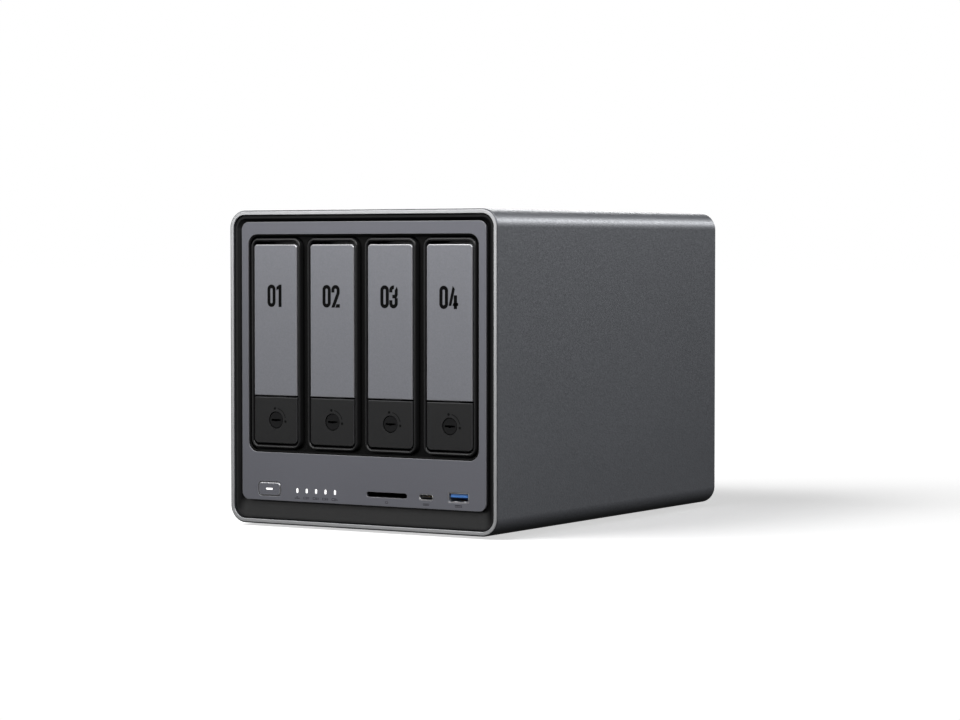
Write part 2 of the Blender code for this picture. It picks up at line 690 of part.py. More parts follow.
def rear_socket(name, x, size, depth, cavities, tongues, finish="socket_steel"):
    """A socket on the mainboard that opens to the rear. Cavities and tongues are shapes."""
    body = plate(x, on_mainboard(size), half_of(size), SOCKET_BACK - depth, SOCKET_BACK)
    steps = [("DIFFERENCE", cavities)]
    if tongues:
        steps.append(("UNION", tongues))
    part(name, finish, [body], steps)


def rear_tongue(x, z, half, cavity_depth):
    return plate(x, z, half, SOCKET_BACK - cavity_depth - JOIN, SOCKET_BACK - TONGUE_SETBACK)


def make_rear_sockets():
    behind = SOCKET_BACK + REACH
    for number, x in enumerate(LAN_X, start=1):
        z = on_mainboard(LAN_SIZE)
        cavity = plate(x, z, LAN_CAVITY_HALF, SOCKET_BACK - LAN_CAVITY_DEPTH, behind)
        rear_socket(f"lan_port_{number}", x, LAN_SIZE, LAN_DEPTH, [cavity], [])
    z = on_mainboard(VIDEO_SIZE)
    cavity = plate(VIDEO_X, z, VIDEO_CAVITY_HALF, SOCKET_BACK - VIDEO_CAVITY_DEPTH, behind)
    tongue = rear_tongue(VIDEO_X, z + VIDEO_TONGUE_RISE, VIDEO_TONGUE_HALF, VIDEO_CAVITY_DEPTH)
    rear_socket("video_port", VIDEO_X, VIDEO_SIZE, VIDEO_DEPTH, [cavity], [tongue])
    cavities = []
    tongues = []
    for offset in (-REAR_USB_OFFSET, REAR_USB_OFFSET):
        z = on_mainboard(REAR_USB_SIZE) + offset
        front = SOCKET_BACK - REAR_USB_CAVITY_DEPTH
        cavities.append(plate(REAR_USB_X, z, REAR_USB_CAVITY_HALF, front, behind))
        z += USB_A_TONGUE_RISE
        tongues.append(rear_tongue(REAR_USB_X, z, USB_A_TONGUE_HALF, REAR_USB_CAVITY_DEPTH))
    rear_socket("rear_usb_stack", REAR_USB_X, REAR_USB_SIZE, REAR_USB_DEPTH, cavities, tongues)
    make_power_inlet()


def make_power_inlet():
    """A round mains adaptor inlet with its centre pin, and the reset button beside it."""
    z = on_mainboard(INLET_SIZE)
    bore_length = INLET_BORE_DEPTH + REACH
    bore = rod((INLET_X, SOCKET_BACK + REACH - bore_length / 2, z), INLET_BORE, bore_length, "Y", 20)
    pin_length = INLET_BORE_DEPTH + JOIN - INLET_PIN_SETBACK
    pin_middle = SOCKET_BACK - INLET_PIN_SETBACK - pin_length / 2
    pin = rod((INLET_X, pin_middle, z), INLET_PIN, pin_length, "Y", 10)
    rear_socket("power_inlet", INLET_X, INLET_SIZE, INLET_DEPTH, [bore], [pin], "connector_plastic")
    middle = (RESET_X, SOCKET_BACK - RESET_SETBACK - RESET_LENGTH / 2, RESET_Z)
    plunger = rod(middle, RESET_RADIUS, RESET_LENGTH, "Y", 12)
    part("reset_button", "connector_plastic", [plunger], origin=middle)


def make_fan():
    back = REAR_FRONT - GAP
    front = back - FAN_DEPTH
    half = FAN_SIZE / 2
    sheet = plate(0.0, FAN_Z, (half, half), front, back, FAN_CORNER)
    bore = rod((0.0, (front + back) / 2, FAN_Z), FAN_BORE, FAN_DEPTH + 2 * REACH, "Y", 56)
    strut_front = back - MOTOR_PLATE_DEPTH
    middle = (0.0, (strut_front + back) / 2, FAN_Z)
    steps = [("DIFFERENCE", [bore])]
    steps.append(("UNION", [rod(middle, MOTOR_PLATE_RADIUS, MOTOR_PLATE_DEPTH)]))
    reach = FAN_BORE + STRUT_HALF / 2
    for strut, inset in zip(((reach, STRUT_HALF), (STRUT_HALF, reach)), STRUT_INSETS):
        steps.append(("UNION", [plate(0.0, FAN_Z, strut, strut_front + inset, back - inset)]))
    part("fan_frame", "fan_plastic", [sheet], steps)
    hub_front = front + HUB_SETBACK
    hub_back = strut_front - GAP
    hub_middle = Vector((0.0, (hub_front + hub_back) / 2, FAN_Z))
    hub = rod(hub_middle, FAN_HUB, hub_back - hub_front, "Y", 36)
    turns = [2 * math.pi * number / FAN_BLADES for number in range(FAN_BLADES)]
    blades = [fan_blade(hub_middle, turn) for turn in turns]
    part("fan_rotor", "fan_plastic", [hub], [("UNION", blades)], origin=hub_middle)


def fan_blade(middle, angle):
    """A pitched blade from the hub outwards, turned about the fan's axis."""

    def add(bm):
        inner = FAN_HUB - BLADE_ROOT
        outer = FAN_BORE - BLADE_TIP_GAP
        size = Matrix.Diagonal((outer - inner, BLADE_THICKNESS, BLADE_CHORD, 1.0))
        outwards = Matrix.Translation(((outer + inner) / 2, 0.0, 0.0))
        pitch = Matrix.Rotation(BLADE_PITCH, 4, "X")
        turn = Matrix.Rotation(angle, 4, "Y")
        matrix = Matrix.Translation(middle) @ turn @ outwards @ pitch @ size
        bmesh.ops.create_cube(bm, size=1.0, matrix=matrix)

    return add


def make_dust_filter():
    front = REAR_FRONT + REAR_THICKNESS + GAP
    back = front + FILTER_DEPTH
    sheet = plate(0.0, FAN_Z, (FILTER_SIDE, FILTER_SIDE), front, back, FILTER_CORNER)
    slots = []
    for number in range(FILTER_SLOTS):
        z = FAN_Z + (number - (FILTER_SLOTS - 1) / 2) * FILTER_SLOT_PITCH
        reach = (front - REACH, back + REACH)
        slots.append(plate(0.0, z, FILTER_SLOT_HALF, *reach, FILTER_SLOT_CORNER, 2))
    cuts = [("DIFFERENCE", slots)]
    part("dust_filter", "filter_mesh", [sheet], cuts, origin=(0.0, front, FAN_Z))


def make_mainboard():
    low = (-MAIN_SIDE, MAIN_FRONT, MAIN_BOTTOM)
    high = (MAIN_SIDE, MAIN_BACK, MAIN_TOP)
    board = box(low, high, MAIN_CORNER, "Z", 2)
    holes = []
    for x in (-SCREW_HOLE_X, SCREW_HOLE_X):
        for y in SCREW_HOLE_Y:
            holes.append(rod((x, y, MAIN_BOTTOM), SCREW_HOLE_RADIUS, 4 * BOARD_THICKNESS, "Z", 10))
    part("mainboard", "circuit_board", [board], [("DIFFERENCE", holes)])
    sink = box((-SINK_SIDE, SINK_FRONT, SOCKET_BOTTOM), (SINK_SIDE, SINK_BACK, SINK_TOP))
    gaps = []
    for number in range(FIN_GAPS):
        x = (number - (FIN_GAPS - 1) / 2) * FIN_GAP_PITCH
        low = (x - FIN_GAP_HALF, SINK_FRONT - REACH, SINK_BASE_TOP)
        high = (x + FIN_GAP_HALF, SINK_BACK + REACH, SINK_TOP + REACH)
        gaps.append(box(low, high))
    part("cpu_heatsink", "heatsink", [sink], [("DIFFERENCE", gaps)])


def hung_card(name, low, high, chip_xs, chip_y, chip_half, holder_low, holder_high):
    """A circuit card under the mainboard, with chips on its underside and a holder at one edge."""
    top = MAIN_BOTTOM - GAP
    card = box((*low, top - CARD_DROP), (*high, top - CARD_DROP + CARD_THICKNESS))
    chips = []
    for x in chip_xs:
        chip_low = (x - chip_half[0], chip_y - chip_half[1], top - CHIP_DROP)
        chip_high = (x + chip_half[0], chip_y + chip_half[1], top - CHIP_RISE)
        chips.append(box(chip_low, chip_high))
    holder = box((*holder_low, top - HOLDER_DROP), (*holder_high, top))
    part(name, "circuit_board", [card], [("UNION", chips), ("UNION", [holder])])


def make_plug_in_modules():
    chips = (MEMORY_CHIP_X, MEMORY_CHIP_Y, MEMORY_CHIP_HALF)
    holder = (MEMORY_HOLDER_LOW, MEMORY_HOLDER_HIGH)
    hung_card("memory_module", MEMORY_LOW, MEMORY_HIGH, *chips, *holder)
    chips = (DRIVE_CHIP_X, DRIVE_CHIP_Y, DRIVE_CHIP_HALF)
    holder = (DRIVE_HOLDER_LOW, DRIVE_HOLDER_HIGH)
    hung_card("boot_drive", DRIVE_LOW, DRIVE_HIGH, *chips, *holder)


clear_scene()
PARTS = new_collection("nas_enclosure")
CUTTERS = new_collection("nas_enclosure_cutters")
MATERIALS = {name: new_material(name) for name in FINISHES}

make_outer_shell()
make_feet()
make_front_bezel()
make_front_panel()
make_bay_frame()
make_cage()
make_backplane()
for bay in range(1, BAY_COUNT + 1):
    bay_tray = make_tray(bay)
    make_handle(bay, bay_tray)
    make_lock(bay, make_latch(bay, bay_tray))
make_power_button()
make_light_pipe()
make_card_reader()
make_front_sockets()
make_rear_panel()
make_rear_sockets()
make_fan()
make_dust_filter()
make_mainboard()
make_plug_in_modules()
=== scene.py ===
"""Looks for the four-bay network storage enclosure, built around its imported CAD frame.

Shapes are made in millimetres, and become metres as they turn into pieces. Camera, floor and lights are in
metres. +Z is up and the front faces -Y. Left and right are as seen from the front. Each group of pieces
has its own function, and places come from the frame's boxes.
"""

import math

import bmesh
import bpy
from mathutils import Matrix, Vector


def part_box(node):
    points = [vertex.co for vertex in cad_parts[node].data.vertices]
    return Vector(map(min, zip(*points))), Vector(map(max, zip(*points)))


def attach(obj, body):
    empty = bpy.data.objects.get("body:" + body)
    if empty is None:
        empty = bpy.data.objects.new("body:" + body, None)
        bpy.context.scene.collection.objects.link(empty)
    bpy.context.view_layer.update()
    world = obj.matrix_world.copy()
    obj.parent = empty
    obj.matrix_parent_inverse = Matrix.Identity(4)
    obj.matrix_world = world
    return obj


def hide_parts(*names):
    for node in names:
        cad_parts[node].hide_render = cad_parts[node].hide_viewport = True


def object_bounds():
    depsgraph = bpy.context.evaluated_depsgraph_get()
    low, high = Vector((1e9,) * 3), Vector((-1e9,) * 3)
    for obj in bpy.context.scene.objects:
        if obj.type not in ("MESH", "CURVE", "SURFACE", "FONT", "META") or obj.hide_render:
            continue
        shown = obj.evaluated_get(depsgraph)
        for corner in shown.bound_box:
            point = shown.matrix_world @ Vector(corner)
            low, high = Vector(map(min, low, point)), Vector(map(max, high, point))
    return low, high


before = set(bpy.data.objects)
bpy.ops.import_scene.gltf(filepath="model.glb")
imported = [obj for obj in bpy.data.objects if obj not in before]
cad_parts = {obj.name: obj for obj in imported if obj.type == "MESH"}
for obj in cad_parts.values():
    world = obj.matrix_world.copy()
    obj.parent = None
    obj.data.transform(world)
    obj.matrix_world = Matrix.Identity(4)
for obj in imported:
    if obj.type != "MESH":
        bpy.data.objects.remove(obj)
CAD_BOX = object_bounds()

MM = 0.001
BAYS = (1, 2, 3, 4)
CORNER_STEPS = 10
ROUND_STEPS = 24
FILLET_STEPS = 3
HOLD = 0.04
SMALLEST_RADIUS = 0.02
LARGE_CIRCLE = 20.0
SHARP_ANGLE = 38.0

FRONT = CAD_BOX[0].y / MM
BACK = CAD_BOX[1].y / MM


def box(node):
    """A node's lowest and highest corners, in mm."""
    return tuple(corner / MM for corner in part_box(node))


def middle_of(node):
    low, high = box(node)
    return (low + high) / 2


def node_shape(node, radius, gap=0.0):
    """A node's rounded outline as seen from the front: (x, z, half x, half z, radius)."""
    low, high = box(node)
    middle = (low + high) / 2
    half = (high - low) / 2
    return (middle.x, middle.z, half.x + gap, half.z + gap, radius)


def row(count, pitch):
    """Evenly spaced places in a row, round 0."""
    return [(number - (count - 1) / 2) * pitch for number in range(count)]


# ---------------------------------------------------------------- materials


class Shader:
    """A small node graph around one Principled BSDF."""

    def __init__(self, name, roughness, metallic=0.0):
        self.material = bpy.data.materials.new(name)
        self.material.use_nodes = True
        self.tree = self.material.node_tree
        self.bsdf = self.tree.nodes["Principled BSDF"]
        self.bsdf.inputs["Roughness"].default_value = roughness
        self.bsdf.inputs["Metallic"].default_value = metallic
        self.coords = self.tree.nodes.new("ShaderNodeTexCoord").outputs["Object"]

    def link(self, source, target):
        self.tree.links.new(source, target)

    def scaled_coords(self, scale):
        mapping = self.tree.nodes.new("ShaderNodeMapping")
        mapping.inputs["Scale"].default_value = scale
        self.link(self.coords, mapping.inputs["Vector"])
        return mapping.outputs["Vector"]

    def noise(self, scale, detail=2.0, stretch=None):
        node = self.tree.nodes.new("ShaderNodeTexNoise")
        node.inputs["Scale"].default_value = scale
        node.inputs["Detail"].default_value = detail
        self.link(self.scaled_coords(stretch) if stretch else self.coords, node.inputs["Vector"])
        return node.outputs["Fac"]

    def spread(self, value, low, high):
        """A 0 to 1 value, spread between two numbers."""
        node = self.tree.nodes.new("ShaderNodeMapRange")
        node.inputs["From Min"].default_value = 0.25
        node.inputs["From Max"].default_value = 0.75
        node.inputs["To Min"].default_value = low
        node.inputs["To Max"].default_value = high
        self.link(value, node.inputs["Value"])
        return node.outputs["Result"]

    def maths(self, operation, first, second):
        node = self.tree.nodes.new("ShaderNodeMath")
        node.operation = operation
        for socket, value in zip(node.inputs, (first, second)):
            if isinstance(value, (int, float)):
                socket.default_value = value
            else:
                self.link(value, socket)
        return node.outputs["Value"]

    def mix(self, factor, first, second):
        node = self.tree.nodes.new("ShaderNodeMix")
        node.data_type = "RGBA"
        self.link(factor, node.inputs["Factor"])
        for key, value in (("A", first), ("B", second)):
            socket = next(s for s in node.inputs if s.name == key and s.type == "RGBA")
            if isinstance(value, tuple):
                socket.default_value = (*value, 1.0)
            else:
                self.link(value, socket)
        return next(s for s in node.outputs if s.type == "RGBA")

    def tint(self, color, amount):
        return tuple(channel * amount for channel in color)

    def paint(self, color):
        self.link(color, self.bsdf.inputs["Base Color"])

    def rough(self, value):
        self.link(value, self.bsdf.inputs["Roughness"])

    def bump(self, height, strength, distance):
        node = self.tree.nodes.new("ShaderNodeBump")
        node.inputs["Strength"].default_value = strength
        node.inputs["Distance"].default_value = distance
        self.link(height, node.inputs["Height"])
        self.link(node.outputs["Normal"], self.bsdf.inputs["Normal"])


def grained(name, color, roughness, metallic=0.0, grain=1400.0, tint=0.10, depth=0.05, gloss=0.5):
    """A moulded, blasted or painted surface: fine grain over faint large mottling."""
    shader = Shader(name, roughness, metallic)
    shader.bsdf.inputs["Specular IOR Level"].default_value = gloss
    fine = shader.noise(grain, 3.0)
    large = shader.noise(14.0, 2.0)
    speckled = shader.mix(fine, shader.tint(color, 1 - tint), shader.tint(color, 1 + tint))
    shader.paint(shader.mix(shader.spread(large, 0.0, 0.06), speckled, (0.0, 0.0, 0.0)))
    shader.rough(shader.spread(shader.noise(grain / 2, 2.0), roughness - 0.05, roughness + 0.05))
    shader.bump(fine, depth, 0.0003)
    return shader.material


def brushed(name, color, roughness, stretch, metallic=1.0, scale=300.0, tint=0.12):
    """Metal with fine lines along one axis, the one with the small number in stretch."""
    shader = Shader(name, roughness, metallic)
    lines = shader.noise(scale, 4.0, stretch)
    shader.paint(shader.mix(lines, shader.tint(color, 1 - tint), shader.tint(color, 1 + tint)))
    shader.rough(shader.spread(lines, roughness - 0.07, roughness + 0.07))
    shader.bump(lines, 0.06, 0.0001)
    return shader.material


def circuit_board(name, mask, trace):
    """Solder mask over fine traces: two sets of thin parallel lines, broken up into patches."""
    shader = Shader(name, 0.38)
    patches = shader.spread(shader.noise(55.0, 0.0), 0.0, 1.0)
    lines = []
    for direction in ("X", "Y"):
        wave = shader.tree.nodes.new("ShaderNodeTexWave")
        wave.bands_direction = direction
        wave.inputs["Scale"].default_value = 260.0
        shader.link(shader.coords, wave.inputs["Vector"])
        lines.append(shader.maths("GREATER_THAN", wave.outputs["Fac"], 0.72))
    chosen = shader.maths("GREATER_THAN", patches, 0.5)
    along = shader.maths("MULTIPLY", lines[0], chosen)
    across = shader.maths("MULTIPLY", lines[1], shader.maths("SUBTRACT", 1.0, chosen))
    traces = shader.maths("MAXIMUM", along, across)
    kept = shader.maths("MULTIPLY", traces, shader.maths("GREATER_THAN", shader.noise(90.0, 0.0), 0.47))
    shader.paint(shader.mix(kept, mask, trace))
    shader.bump(kept, 0.25, 0.0001)
    return shader.material


def glowing(name, color, strength):
    """A lit lens: bright in the middle of its grain, with a faint uneven diffusion."""
    shader = Shader(name, 0.25)
    base = shader.mix(shader.noise(900.0, 2.0), shader.tint(color, 0.92), color)
    shader.paint(base)
    shader.link(base, shader.bsdf.inputs["Emission Color"])
    shader.bsdf.inputs["Emission Strength"].default_value = strength
    return shader.material


SHELL = grained("blasted_shell", (0.083, 0.087, 0.096), 0.44, 0.55, 1150.0, 0.42, 0.26)
RIM = grained("machined_rim", (0.54, 0.545, 0.555), 0.38, 0.7, 1500.0, 0.06, 0.03)
REAR_METAL = grained("blasted_rear", (0.070, 0.072, 0.076), 0.46, 0.5, 1500.0, 0.22, 0.14)
PANEL = grained("panel_grey", (0.176, 0.179, 0.205), 0.42, 0.35, 1700.0, 0.10, 0.06)
# A lighter copy of the panel grey for rounded edges: a painted highlight.
PANEL_EDGE_HIGHLIGHT = grained("panel_painted_highlight", (0.30, 0.30, 0.315), 0.36, 0.5, 1700.0, 0.08, 0.03)
HANDLE = grained("handle_grey", (0.236, 0.241, 0.266), 0.40, 0.35, 1500.0, 0.16, 0.08)
# A lighter copy of the handle grey for its rounded edges: a painted highlight.
HANDLE_EDGE_HIGHLIGHT = grained("handle_painted_highlight", (0.36, 0.36, 0.38), 0.38, 0.45, 1700.0, 0.06, 0.03)
# A bright grey for rounded edges: a painted highlight.
EDGE_HIGHLIGHT = grained("painted_edge_highlight", (0.66, 0.66, 0.68), 0.30, 0.8, 1500.0, 0.05, 0.01)
BEZEL = grained("bezel_plastic", (0.0082, 0.0082, 0.0086), 0.45, 0.0, 2400.0, 0.15, 0.10, 0.28)
# Black plastic made darker still, with little gloss: painted shade for the deep gaps between the trays.
BAY_BLACK_AND_SHADE = grained("bay_plastic_and_painted_shade", (0.002, 0.002, 0.002), 0.52, 0.0, 2400.0, 0.15, 0.10, 0.13)
TRAY_BLACK = grained("tray_plastic", (0.010, 0.010, 0.0105), 0.34, 0.0, 2200.0, 0.15, 0.10)
LATCH = grained("latch_plastic", (0.0120, 0.0120, 0.0125), 0.45, 0.0, 2200.0, 0.14, 0.12, 0.36)
# A lighter copy of the latch plastic for its rounded edge: a painted highlight.
LATCH_EDGE_HIGHLIGHT = grained("latch_painted_highlight", (0.032, 0.032, 0.034), 0.40, 0.0, 2200.0, 0.10, 0.06)
LOCK = grained("lock_metal", (0.006, 0.006, 0.0065), 0.55, 0.0, 2000.0, 0.15, 0.08, 0.22)
INK = grained("black_ink", (0.0015, 0.0015, 0.0016), 0.60, 0.0, 3000.0, 0.10, 0.03, 0.1)
SMALL_INK = grained("dark_ink", (0.012, 0.012, 0.015), 0.60, 0.0, 3000.0, 0.10, 0.03, 0.2)
STEEL = brushed("zinc_steel", (0.46, 0.47, 0.48), 0.34, (1.0, 0.05, 1.0))
SOCKET = grained("nickel_socket", (0.60, 0.60, 0.61), 0.34, 0.85, 2600.0, 0.05, 0.02)
SCREW = brushed("black_screw", (0.05, 0.05, 0.052), 0.35, (1.0, 1.0, 1.0), 0.9, 900.0)
BRIGHT_SCREW = brushed("nickel_screw", (0.60, 0.60, 0.58), 0.28, (1.0, 1.0, 1.0), 1.0, 900.0)
GOLD = brushed("gold_contact", (0.75, 0.52, 0.20), 0.25, (1.0, 0.1, 1.0), 1.0, 900.0)
SINK = brushed("extruded_sink", (0.55, 0.55, 0.57), 0.32, (1.0, 0.04, 1.0))
INSULATOR = grained("black_insulator", (0.014, 0.014, 0.014), 0.50, 0.0, 1800.0, 0.12, 0.12)
CHIP = grained("chip_resin", (0.022, 0.022, 0.023), 0.55, 0.0, 2600.0, 0.12, 0.10)
BLUE = grained("blue_insulator", (0.085, 0.270, 0.720), 0.38, 0.0, 1800.0, 0.10, 0.06)
FAN = grained("fan_plastic", (0.016, 0.016, 0.017), 0.38, 0.0, 1600.0, 0.12, 0.08)
WIRE = grained("filter_wire", (0.020, 0.020, 0.021), 0.50, 0.0, 2600.0, 0.15, 0.10)
RUBBER = grained("foot_rubber", (0.014, 0.014, 0.014), 0.80, 0.0, 1400.0, 0.20, 0.30)
BOARD = circuit_board("green_board", (0.006, 0.035, 0.020), (0.016, 0.085, 0.045))
DARK_BOARD = circuit_board("black_board", (0.008, 0.009, 0.012), (0.030, 0.032, 0.036))
LIGHT = glowing("status_light", (1.0, 1.0, 0.98), 1.0)
LENS = grained("milky_lens", (0.55, 0.55, 0.53), 0.30, 0.0, 900.0, 0.05, 0.03)


# ---------------------------------------------------------------- shapes


def arc(x, z, radius, start, sweep, steps):
    """Points along an arc round (x, z), with its angles in degrees."""
    angles = [math.radians(start + sweep * step / steps) for step in range(steps + 1)]
    return [(x + radius * math.cos(angle), z + radius * math.sin(angle)) for angle in angles]


def outline(shape, inset=0.0, steps=CORNER_STEPS):
    """Points round a rounded rectangle (x, z, half x, half z, radius), anticlockwise from the front.
    The radius may be a pair, for the top and the bottom corners."""
    x, z, half_x, half_z, radii = shape
    top, bottom = radii if isinstance(radii, tuple) else (radii, radii)
    points = []
    for side_x, side_z, start in ((1, 1, 0), (-1, 1, 90), (-1, -1, 180), (1, -1, 270)):
        radius = max((top if side_z > 0 else bottom) - inset, SMALLEST_RADIUS)
        middle_x = x + side_x * (half_x - inset - radius)
        middle_z = z + side_z * (half_z - inset - radius)
        points += arc(middle_x, middle_z, radius, start, 90, steps)
    return points


def grown(shape, by):
    return (shape[0], shape[1], shape[2] + by, shape[3] + by, shape[4] + by)


def round_shape(x, z, radius):
    return (x, z, radius, radius, radius - 0.02)


def is_large_circle(shape):
    return not isinstance(shape[4], tuple) and shape[4] > LARGE_CIRCLE


def between(first, second, share):
    """Outline points part of the way from one outline to another."""
    return [(a[0] + (b[0] - a[0]) * share, a[1] + (b[1] - a[1]) * share) for a, b in zip(first, second)]


def add_loop(bm, points, y):
    return [bm.verts.new((x, y, z)) for x, z in points]


def bridge(bm, first, second, slot=0):
    faces = []
    for index in range(len(first)):
        follow = (index + 1) % len(first)
        faces.append(bm.faces.new((first[index], second[index], second[follow], first[follow])))
        faces[-1].material_index = slot
    return faces


def cap(bm, loops, slot=0):
    """Closes both ends of a row of loops."""
    for loop in (loops[0], loops[-1]):
        bm.faces.new(loop).material_index = slot


def loop_edges(bm, loop):
    return [bm.edges.get((loop[i], loop[(i + 1) % len(loop)])) for i in range(len(loop))]


def fillet(inset, y, radius, turn="in", steps=FILLET_STEPS):
    """(inset, y) pairs round a front edge, from the side wall on to the front face or back again.
    A last narrow step along the face keeps its shading flat."""
    pairs = []
    for step in range(steps + 1):
        angle = math.pi / 2 * step / steps
        pairs.append((inset + radius * (1 - math.cos(angle)), y + radius * (1 - math.sin(angle))))
    pairs.append((inset + radius + HOLD, y))
    if turn == "out":
        pairs = [(2 * inset - a, b) for a, b in reversed(pairs)]
    return pairs


def add_ring(bm, shape, profile, slots=None, steps=CORNER_STEPS):
    """A closed ring: the profile's (inset, y) pairs carried round an outline."""
    loops = [add_loop(bm, outline(shape, inset, steps), y) for inset, y in profile]
    for index, loop in enumerate(loops):
        bridge(bm, loop, loops[(index + 1) % len(loops)], slots[index] if slots else 0)


def add_tube(bm, shape, wall, front, back, slot=0, steps=3):
    """A ring with a square-edged wall."""
    profile = [(0.0, back), (0.0, front), (wall, front), (wall, back)]
    add_ring(bm, shape, profile, [slot] * len(profile), steps)


def add_slab(bm, shape, front, back, edge, back_edge, slots=(0, 0), steps=CORNER_STEPS):
    """A closed plate that faces the front, with rounded edges. slots are for its body and front edge."""
    pairs = list(reversed(fillet(0.0, front, edge)))
    pairs += [(inset, front + back - y) for inset, y in fillet(0.0, front, back_edge)]
    loops = [add_loop(bm, outline(shape, inset, steps), y) for inset, y in pairs]
    for index in range(len(loops) - 1):
        bridge(bm, loops[index], loops[index + 1], slots[1] if index <= FILLET_STEPS else slots[0])
    cap(bm, loops, slots[0])


def add_sheet(bm, shape, holes, front, back, edge, hole_edge, slots=(0, 0, 0)):
    """A flat panel facing the front, with holes and rounded edges. slots are for its body, its outer
    edge and the edges of its holes."""
    fronts = []
    backs = []
    for border in (shape, *holes):
        is_hole = border is not shape
        pairs = list(reversed(fillet(0.0, front, hole_edge if is_hole else edge))) + [(0.0, back)]
        steps = ROUND_STEPS if is_hole and is_large_circle(border) else CORNER_STEPS
        side = -1 if is_hole else 1
        loops = [add_loop(bm, outline(border, side * inset, steps), y) for inset, y in pairs]
        edge_slot = slots[2] if is_hole else slots[1]
        for index in range(len(loops) - 1):
            bridge(bm, loops[index], loops[index + 1], edge_slot if index <= FILLET_STEPS else slots[0])
        fronts += loop_edges(bm, loops[0])
        backs += loop_edges(bm, loops[-1])
    for edges in (fronts, backs):
        filled = bmesh.ops.triangle_fill(bm, use_beauty=True, edges=edges, normal=(0.0, -1.0, 0.0))
        for item in filled["geom"]:
            if isinstance(item, bmesh.types.BMFace):
                item.material_index = slots[0]


def add_box(bm, low, high, edge=0.0, slot=0):
    """A block between two corners, with all its edges rounded."""
    low_corner = Vector(low)
    high_corner = Vector(high)
    size = Matrix.Diagonal((*(high_corner - low_corner), 1.0))
    matrix = Matrix.Translation((low_corner + high_corner) / 2) @ size
    verts = bmesh.ops.create_cube(bm, size=1.0, matrix=matrix)["verts"]
    faces = {face for vert in verts for face in vert.link_faces}
    if edge:
        edges = {edge_ for vert in verts for edge_ in vert.link_edges}
        edges = sorted(edges, key=lambda e: tuple(e.verts[0].co + e.verts[1].co))
        made = bmesh.ops.bevel(bm, geom=edges, offset=edge, segments=2, profile=0.5, affect="EDGES")
        faces = {face for vert in made["verts"] for face in vert.link_faces}
    for face in faces:
        face.material_index = slot


def add_bar(bm, x, z, half_x, half_z, front, back, edge=0.0, slot=0):
    """A block round x and z, from front to back."""
    add_box(bm, (x - half_x, front, z - half_z), (x + half_x, back, z + half_z), edge, slot)


def add_prism(bm, points, front, back):
    """A flat shape in the XZ plane, made solid from front to back."""
    loops = [add_loop(bm, points, y) for y in (front, back)]
    bridge(bm, *loops)
    cap(bm, loops)


def add_turned(bm, middle, profile, axis="Y", sides=32, slot=0):
    """A closed turned shape: (radius, distance along the axis) pairs from one end to the other."""
    turns = {
        "X": Matrix.Rotation(math.pi / 2, 4, "Y"),
        "Y": Matrix.Rotation(-math.pi / 2, 4, "X"),
        "Z": Matrix(),
    }
    matrix = Matrix.Translation(middle) @ turns[axis]
    loops = []
    for radius, along in profile:
        points = arc(0.0, 0.0, radius, 0.0, 360.0, sides)[:-1]
        loops.append([bm.verts.new(matrix @ Vector((x, y, along))) for x, y in points])
    for first, second in zip(loops, loops[1:]):
        bridge(bm, first, second, slot)
    cap(bm, loops, slot)


def round_end(radius, low, high, edge):
    """A profile for add_turned: a rod with both its ends' edges rounded."""
    ends = []
    for step in range(FILLET_STEPS + 1):
        angle = math.pi / 2 * step / FILLET_STEPS
        ends.append((radius - edge * (1 - math.sin(angle)), edge * (1 - math.cos(angle))))
    return [(r, low + a) for r, a in ends] + [(r, high - a) for r, a in reversed(ends)]


def mesh_in_metres(name, bm):
    bmesh.ops.scale(bm, vec=(MM, MM, MM), verts=bm.verts)
    bmesh.ops.recalc_face_normals(bm, faces=bm.faces)
    mesh = bpy.data.meshes.new(name)
    bm.to_mesh(mesh)
    bm.free()
    return mesh


def smooth_mesh(name, bm, materials, sharp=SHARP_ANGLE):
    mesh = mesh_in_metres(name, bm)
    for material in materials:
        mesh.materials.append(material)
    mesh.shade_smooth()
    mesh.set_sharp_from_angle(angle=math.radians(sharp))
    return mesh


def piece(name, bm, materials, replaced=(), body="enclosure", sharp=SHARP_ANGLE, x=0.0):
    """Turns a bmesh in mm into a finished piece that rides on a CAD body."""
    return mount_piece(name, smooth_mesh(name, bm, materials, sharp), replaced, body, x)


def mount_piece(name, mesh, replaced, body, x):
    obj = bpy.data.objects.new(name, mesh)
    bpy.context.scene.collection.objects.link(obj)
    obj.location.x = x * MM
    weighted = obj.modifiers.new("weighted_normals", "WEIGHTED_NORMAL")
    weighted.keep_sharp = True
    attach(obj, body)
    if replaced:
        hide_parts(*replaced)
    return obj


def cut_with(obj, bm):
    """Cuts a closed shape, a bmesh in mm, out of a piece for good."""
    tool = bpy.data.objects.new("cutter", mesh_in_metres("cutter", bm))
    bpy.context.scene.collection.objects.link(tool)
    boolean = obj.modifiers.new("cut", "BOOLEAN")
    boolean.operation = "DIFFERENCE"
    boolean.object = tool
    obj.modifiers.move(len(obj.modifiers) - 1, 0)
    weighted = obj.modifiers["weighted_normals"]
    weighted.show_viewport = False
    graph = bpy.context.evaluated_depsgraph_get()
    cut = bpy.data.meshes.new_from_object(obj.evaluated_get(graph))
    obj.modifiers.remove(boolean)
    obj.data = cut
    weighted.show_viewport = True
    cut.set_sharp_from_angle(angle=math.radians(SHARP_ANGLE))
    bpy.data.objects.remove(tool)


def dress(material, *nodes):
    """Gives CAD nodes that stay a better material."""
    for node in nodes:
        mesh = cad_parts[node].data
        mesh.materials.clear()
        mesh.materials.append(material)


def add_screw(bm, middle, radius, axis="Y", outwards=-1, slot=0):
    """A pan head screw with a recess, its head facing outwards along the axis."""
    height = radius * 0.55
    rings = [(radius, 0.0), (radius, height * 0.45), (radius * 0.86, height * 0.80), (radius * 0.6, height)]
    rings += [(radius * 0.34, height), (radius * 0.20, height * 0.35)]
    add_turned(bm, middle, [(r, outwards * a) for r, a in rings], axis, 20, slot)


# ---------------------------------------------------------------- outer shell, bezel and panel

